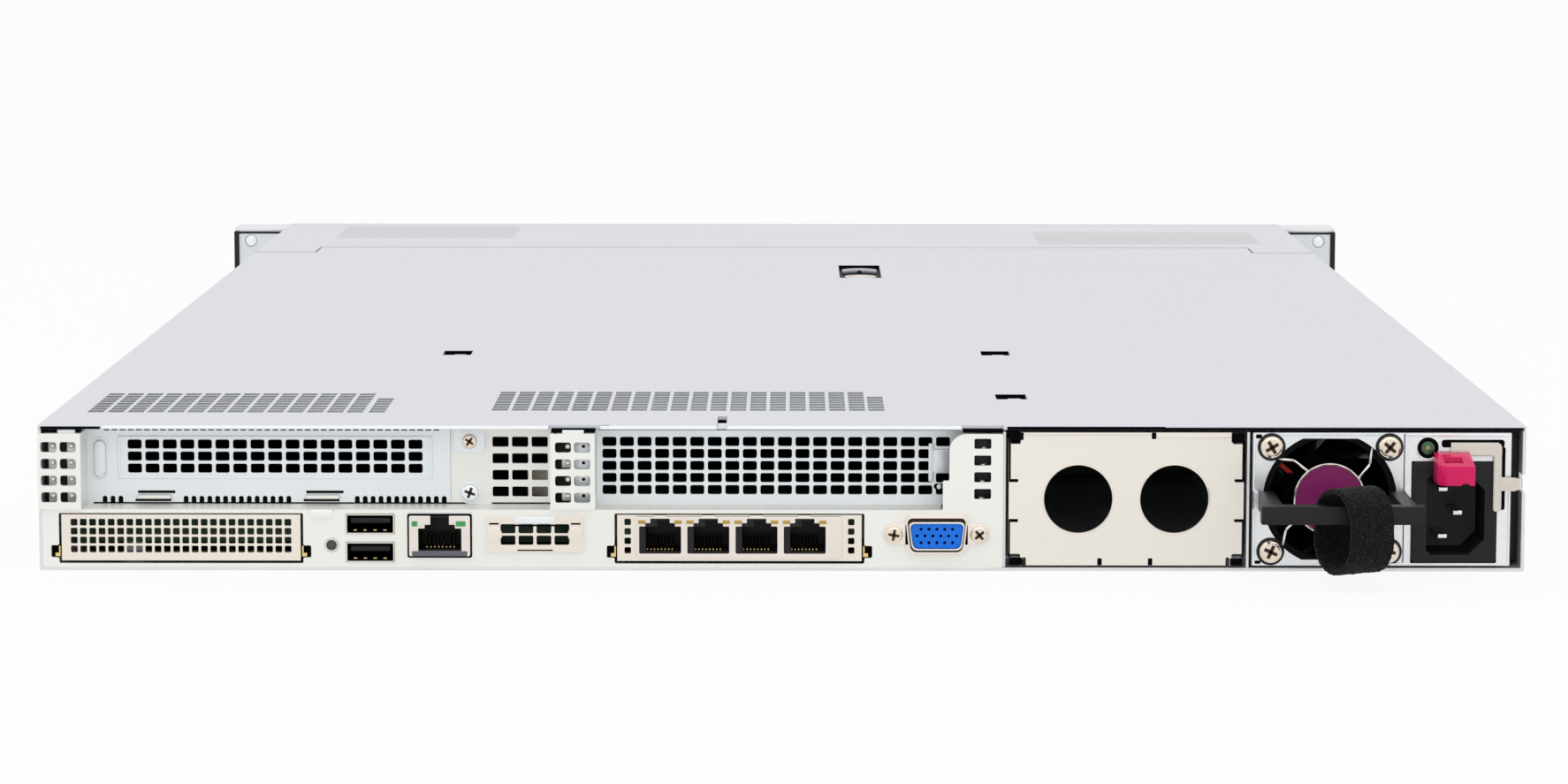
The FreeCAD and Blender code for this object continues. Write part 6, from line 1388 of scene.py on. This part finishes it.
class FRAME_OT_finishes(bpy.types.Operator):
    """Finishes and softened edges of the CAD nodes that stay in view"""
    bl_idname = "rack_server.frame_finishes"
    bl_label = "Frame finishes"

    nodes = {
        "cover_steel": ("top_cover",),
        "front_cover": ("front_top_panel",),
        "chassis_steel": ("chassis_tray", "psu_bay_divider", "drive_cage", "rack_ears", "psu_case"),
        "black_plastic": ("network_jacks", "management_jack", "fan_frames", "air_baffle",
                          "front_control_panel", "front_bay_blanks", "ear_latch_left", "ear_latch_right",
                          "fan_rotor_1", "fan_rotor_2", "fan_rotor_3", "fan_rotor_4", "fan_rotor_5"),
        "lever_plastic": ("drive_1_lever", "drive_2_lever"),
        "circuit_board": ("drive_backplane", "system_board", "memory_modules", "riser_cards",
                          "power_backplane", "psu_circuit_board"),
        "fin_aluminium": ("heat_sinks",),
        "drive_aluminium": ("drive_1", "drive_2"),
        "lid_nickel": ("processors",),
        "lens_plastic": ("power_button",),
    }

    def execute(self, context):
        for finish_name, names in self.nodes.items():
            for name in names:
                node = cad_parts[name]
                node.data.materials.clear()
                node.data.materials.append(finish(finish_name))
                weld = node.modifiers.new("weld", "WELD")
                weld.merge_threshold = MERGE_DISTANCE
                edge = node.modifiers.new("edge", "BEVEL")
                edge.width = FRAME_EDGE * MM
                edge.segments = 2
                edge.limit_method = "ANGLE"
                edge.angle_limit = SMOOTH_ANGLE
                edge.use_clamp_overlap = True
        return {"FINISHED"}


class STAGE_OT_studio(bpy.types.Operator):
    """White floor, soft studio light and the photograph's camera"""
    bl_idname = "rack_server.studio"
    bl_label = "Studio"

    camera_place = (2.43, -1721.83, 215.92)
    pitch = 0.1187
    yaw = 0.0013
    roll = 0.0008

    def execute(self, context):
        looks = context.scene.stage_looks
        context.scene.view_settings.view_transform = "Standard"
        self.floor()
        self.world(looks.fill)
        self.lamp("key_lamp", (0.2, -1.3, 1.5), (0, -0.1, 0), 2.6, looks.key)
        self.lamp("side_lamp", (-1.5, -0.6, 0.9), (0, -0.2, 0), 1.6, looks.key * 0.3)
        data = bpy.data.cameras.new("camera")
        data.lens = looks.lens
        data.sensor_width = 36
        data.clip_end = 100
        camera = bpy.data.objects.new("camera", data)
        context.scene.collection.objects.link(camera)
        camera.matrix_world = (Matrix.Translation(Vector(self.camera_place) * MM)
                               @ Matrix.Rotation(self.yaw, 4, "Z")
                               @ Matrix.Rotation(math.pi / 2 - self.pitch, 4, "X")
                               @ Matrix.Rotation(self.roll, 4, "Z"))
        context.scene.camera = camera
        return {"FINISHED"}

    def seen(self, tree):
        """A wire that is one for rays that show the background: camera, glossy and transmission."""
        rays = [Wire(tree).node("ShaderNodeLightPath", {}, {}, output)
                for output in ("Is Camera Ray", "Is Glossy Ray", "Is Transmission Ray")]
        return rays[0] + rays[1] + rays[2]

    def floor(self):
        floor = added(bpy.ops.mesh.primitive_plane_add, size=40)
        floor.name = "studio_floor"
        material, place = new_material("studio_floor")
        paper = place.noise(3.0).shades((1, 1, 1), 0.84, 0.86)
        matt = place.node("ShaderNodeBsdfDiffuse", {}, {"Color": paper})
        lit = place.node("ShaderNodeEmission", {}, {"Color": (1, 1, 1, 1), "Strength": 1.0})
        share = self.seen(material.node_tree) * 0.9
        both = place.node("ShaderNodeMixShader", {}, {0: share, 1: matt, 2: lit})
        place.node("ShaderNodeOutputMaterial", {}, {"Surface": both})
        floor.data.materials.append(material)

    def world(self, fill):
        world = bpy.data.worlds.new("studio")
        bpy.context.scene.world = world
        world.use_nodes = True
        tree = world.node_tree
        tree.nodes.clear()
        seen = self.seen(tree)
        strength = seen * (1.0 - fill) + fill
        sky = seen.node("ShaderNodeBackground", {}, {"Color": (1, 1, 1, 1), "Strength": strength})
        seen.node("ShaderNodeOutputWorld", {}, {"Surface": sky})

    def lamp(self, name, place, aim, size, power):
        data = bpy.data.lights.new(name, "AREA")
        data.size = size
        data.energy = power
        lamp = bpy.data.objects.new(name, data)
        bpy.context.scene.collection.objects.link(lamp)
        lamp.location = place
        lamp.rotation_euler = (Vector(aim) - Vector(place)).to_track_quat("-Z", "Y").to_euler()


class RACK_PT_panel(bpy.types.Panel):
    """Lists the operators that build the looks"""
    bl_idname = "RACK_PT_panel"
    bl_label = "Rack server"
    bl_space_type = "VIEW_3D"
    bl_region_type = "UI"
    bl_category = "Rack Server"

    def draw(self, context):
        for operator in OPERATORS:
            self.layout.operator(operator.bl_idname)
        for looks in (context.scene.sheet_looks, context.scene.supply_looks, context.scene.stage_looks):
            for name in looks.__annotations__:
                self.layout.prop(looks, name)


LOOKS = {"sheet_looks": SheetLooks, "supply_looks": SupplyLooks, "stage_looks": StageLooks}
OPERATORS = (STAGE_OT_studio, FRAME_OT_finishes, SHEET_OT_punched, SHEET_OT_embossing, SHEET_OT_backings,
             FASTENER_OT_screws, PORT_OT_ports, PORT_OT_video, SUPPLY_OT_fan, SUPPLY_OT_face, SUPPLY_OT_strap,
             COVER_OT_latch, COVER_OT_seams, EAR_OT_details, FRONT_OT_details)


def register():
    for made in (*LOOKS.values(), *OPERATORS, RACK_PT_panel):
        bpy.utils.register_class(made)
    for name, looks in LOOKS.items():
        setattr(bpy.types.Scene, name, PointerProperty(type=looks))


def unregister():
    for name in LOOKS:
        delattr(bpy.types.Scene, name)
    for made in reversed((*LOOKS.values(), *OPERATORS, RACK_PT_panel)):
        bpy.utils.unregister_class(made)


def main():
    register()
    for operator in OPERATORS:
        group, name = operator.bl_idname.split(".")
        getattr(getattr(bpy.ops, group), name)()


if __name__ == "__main__":
    main()
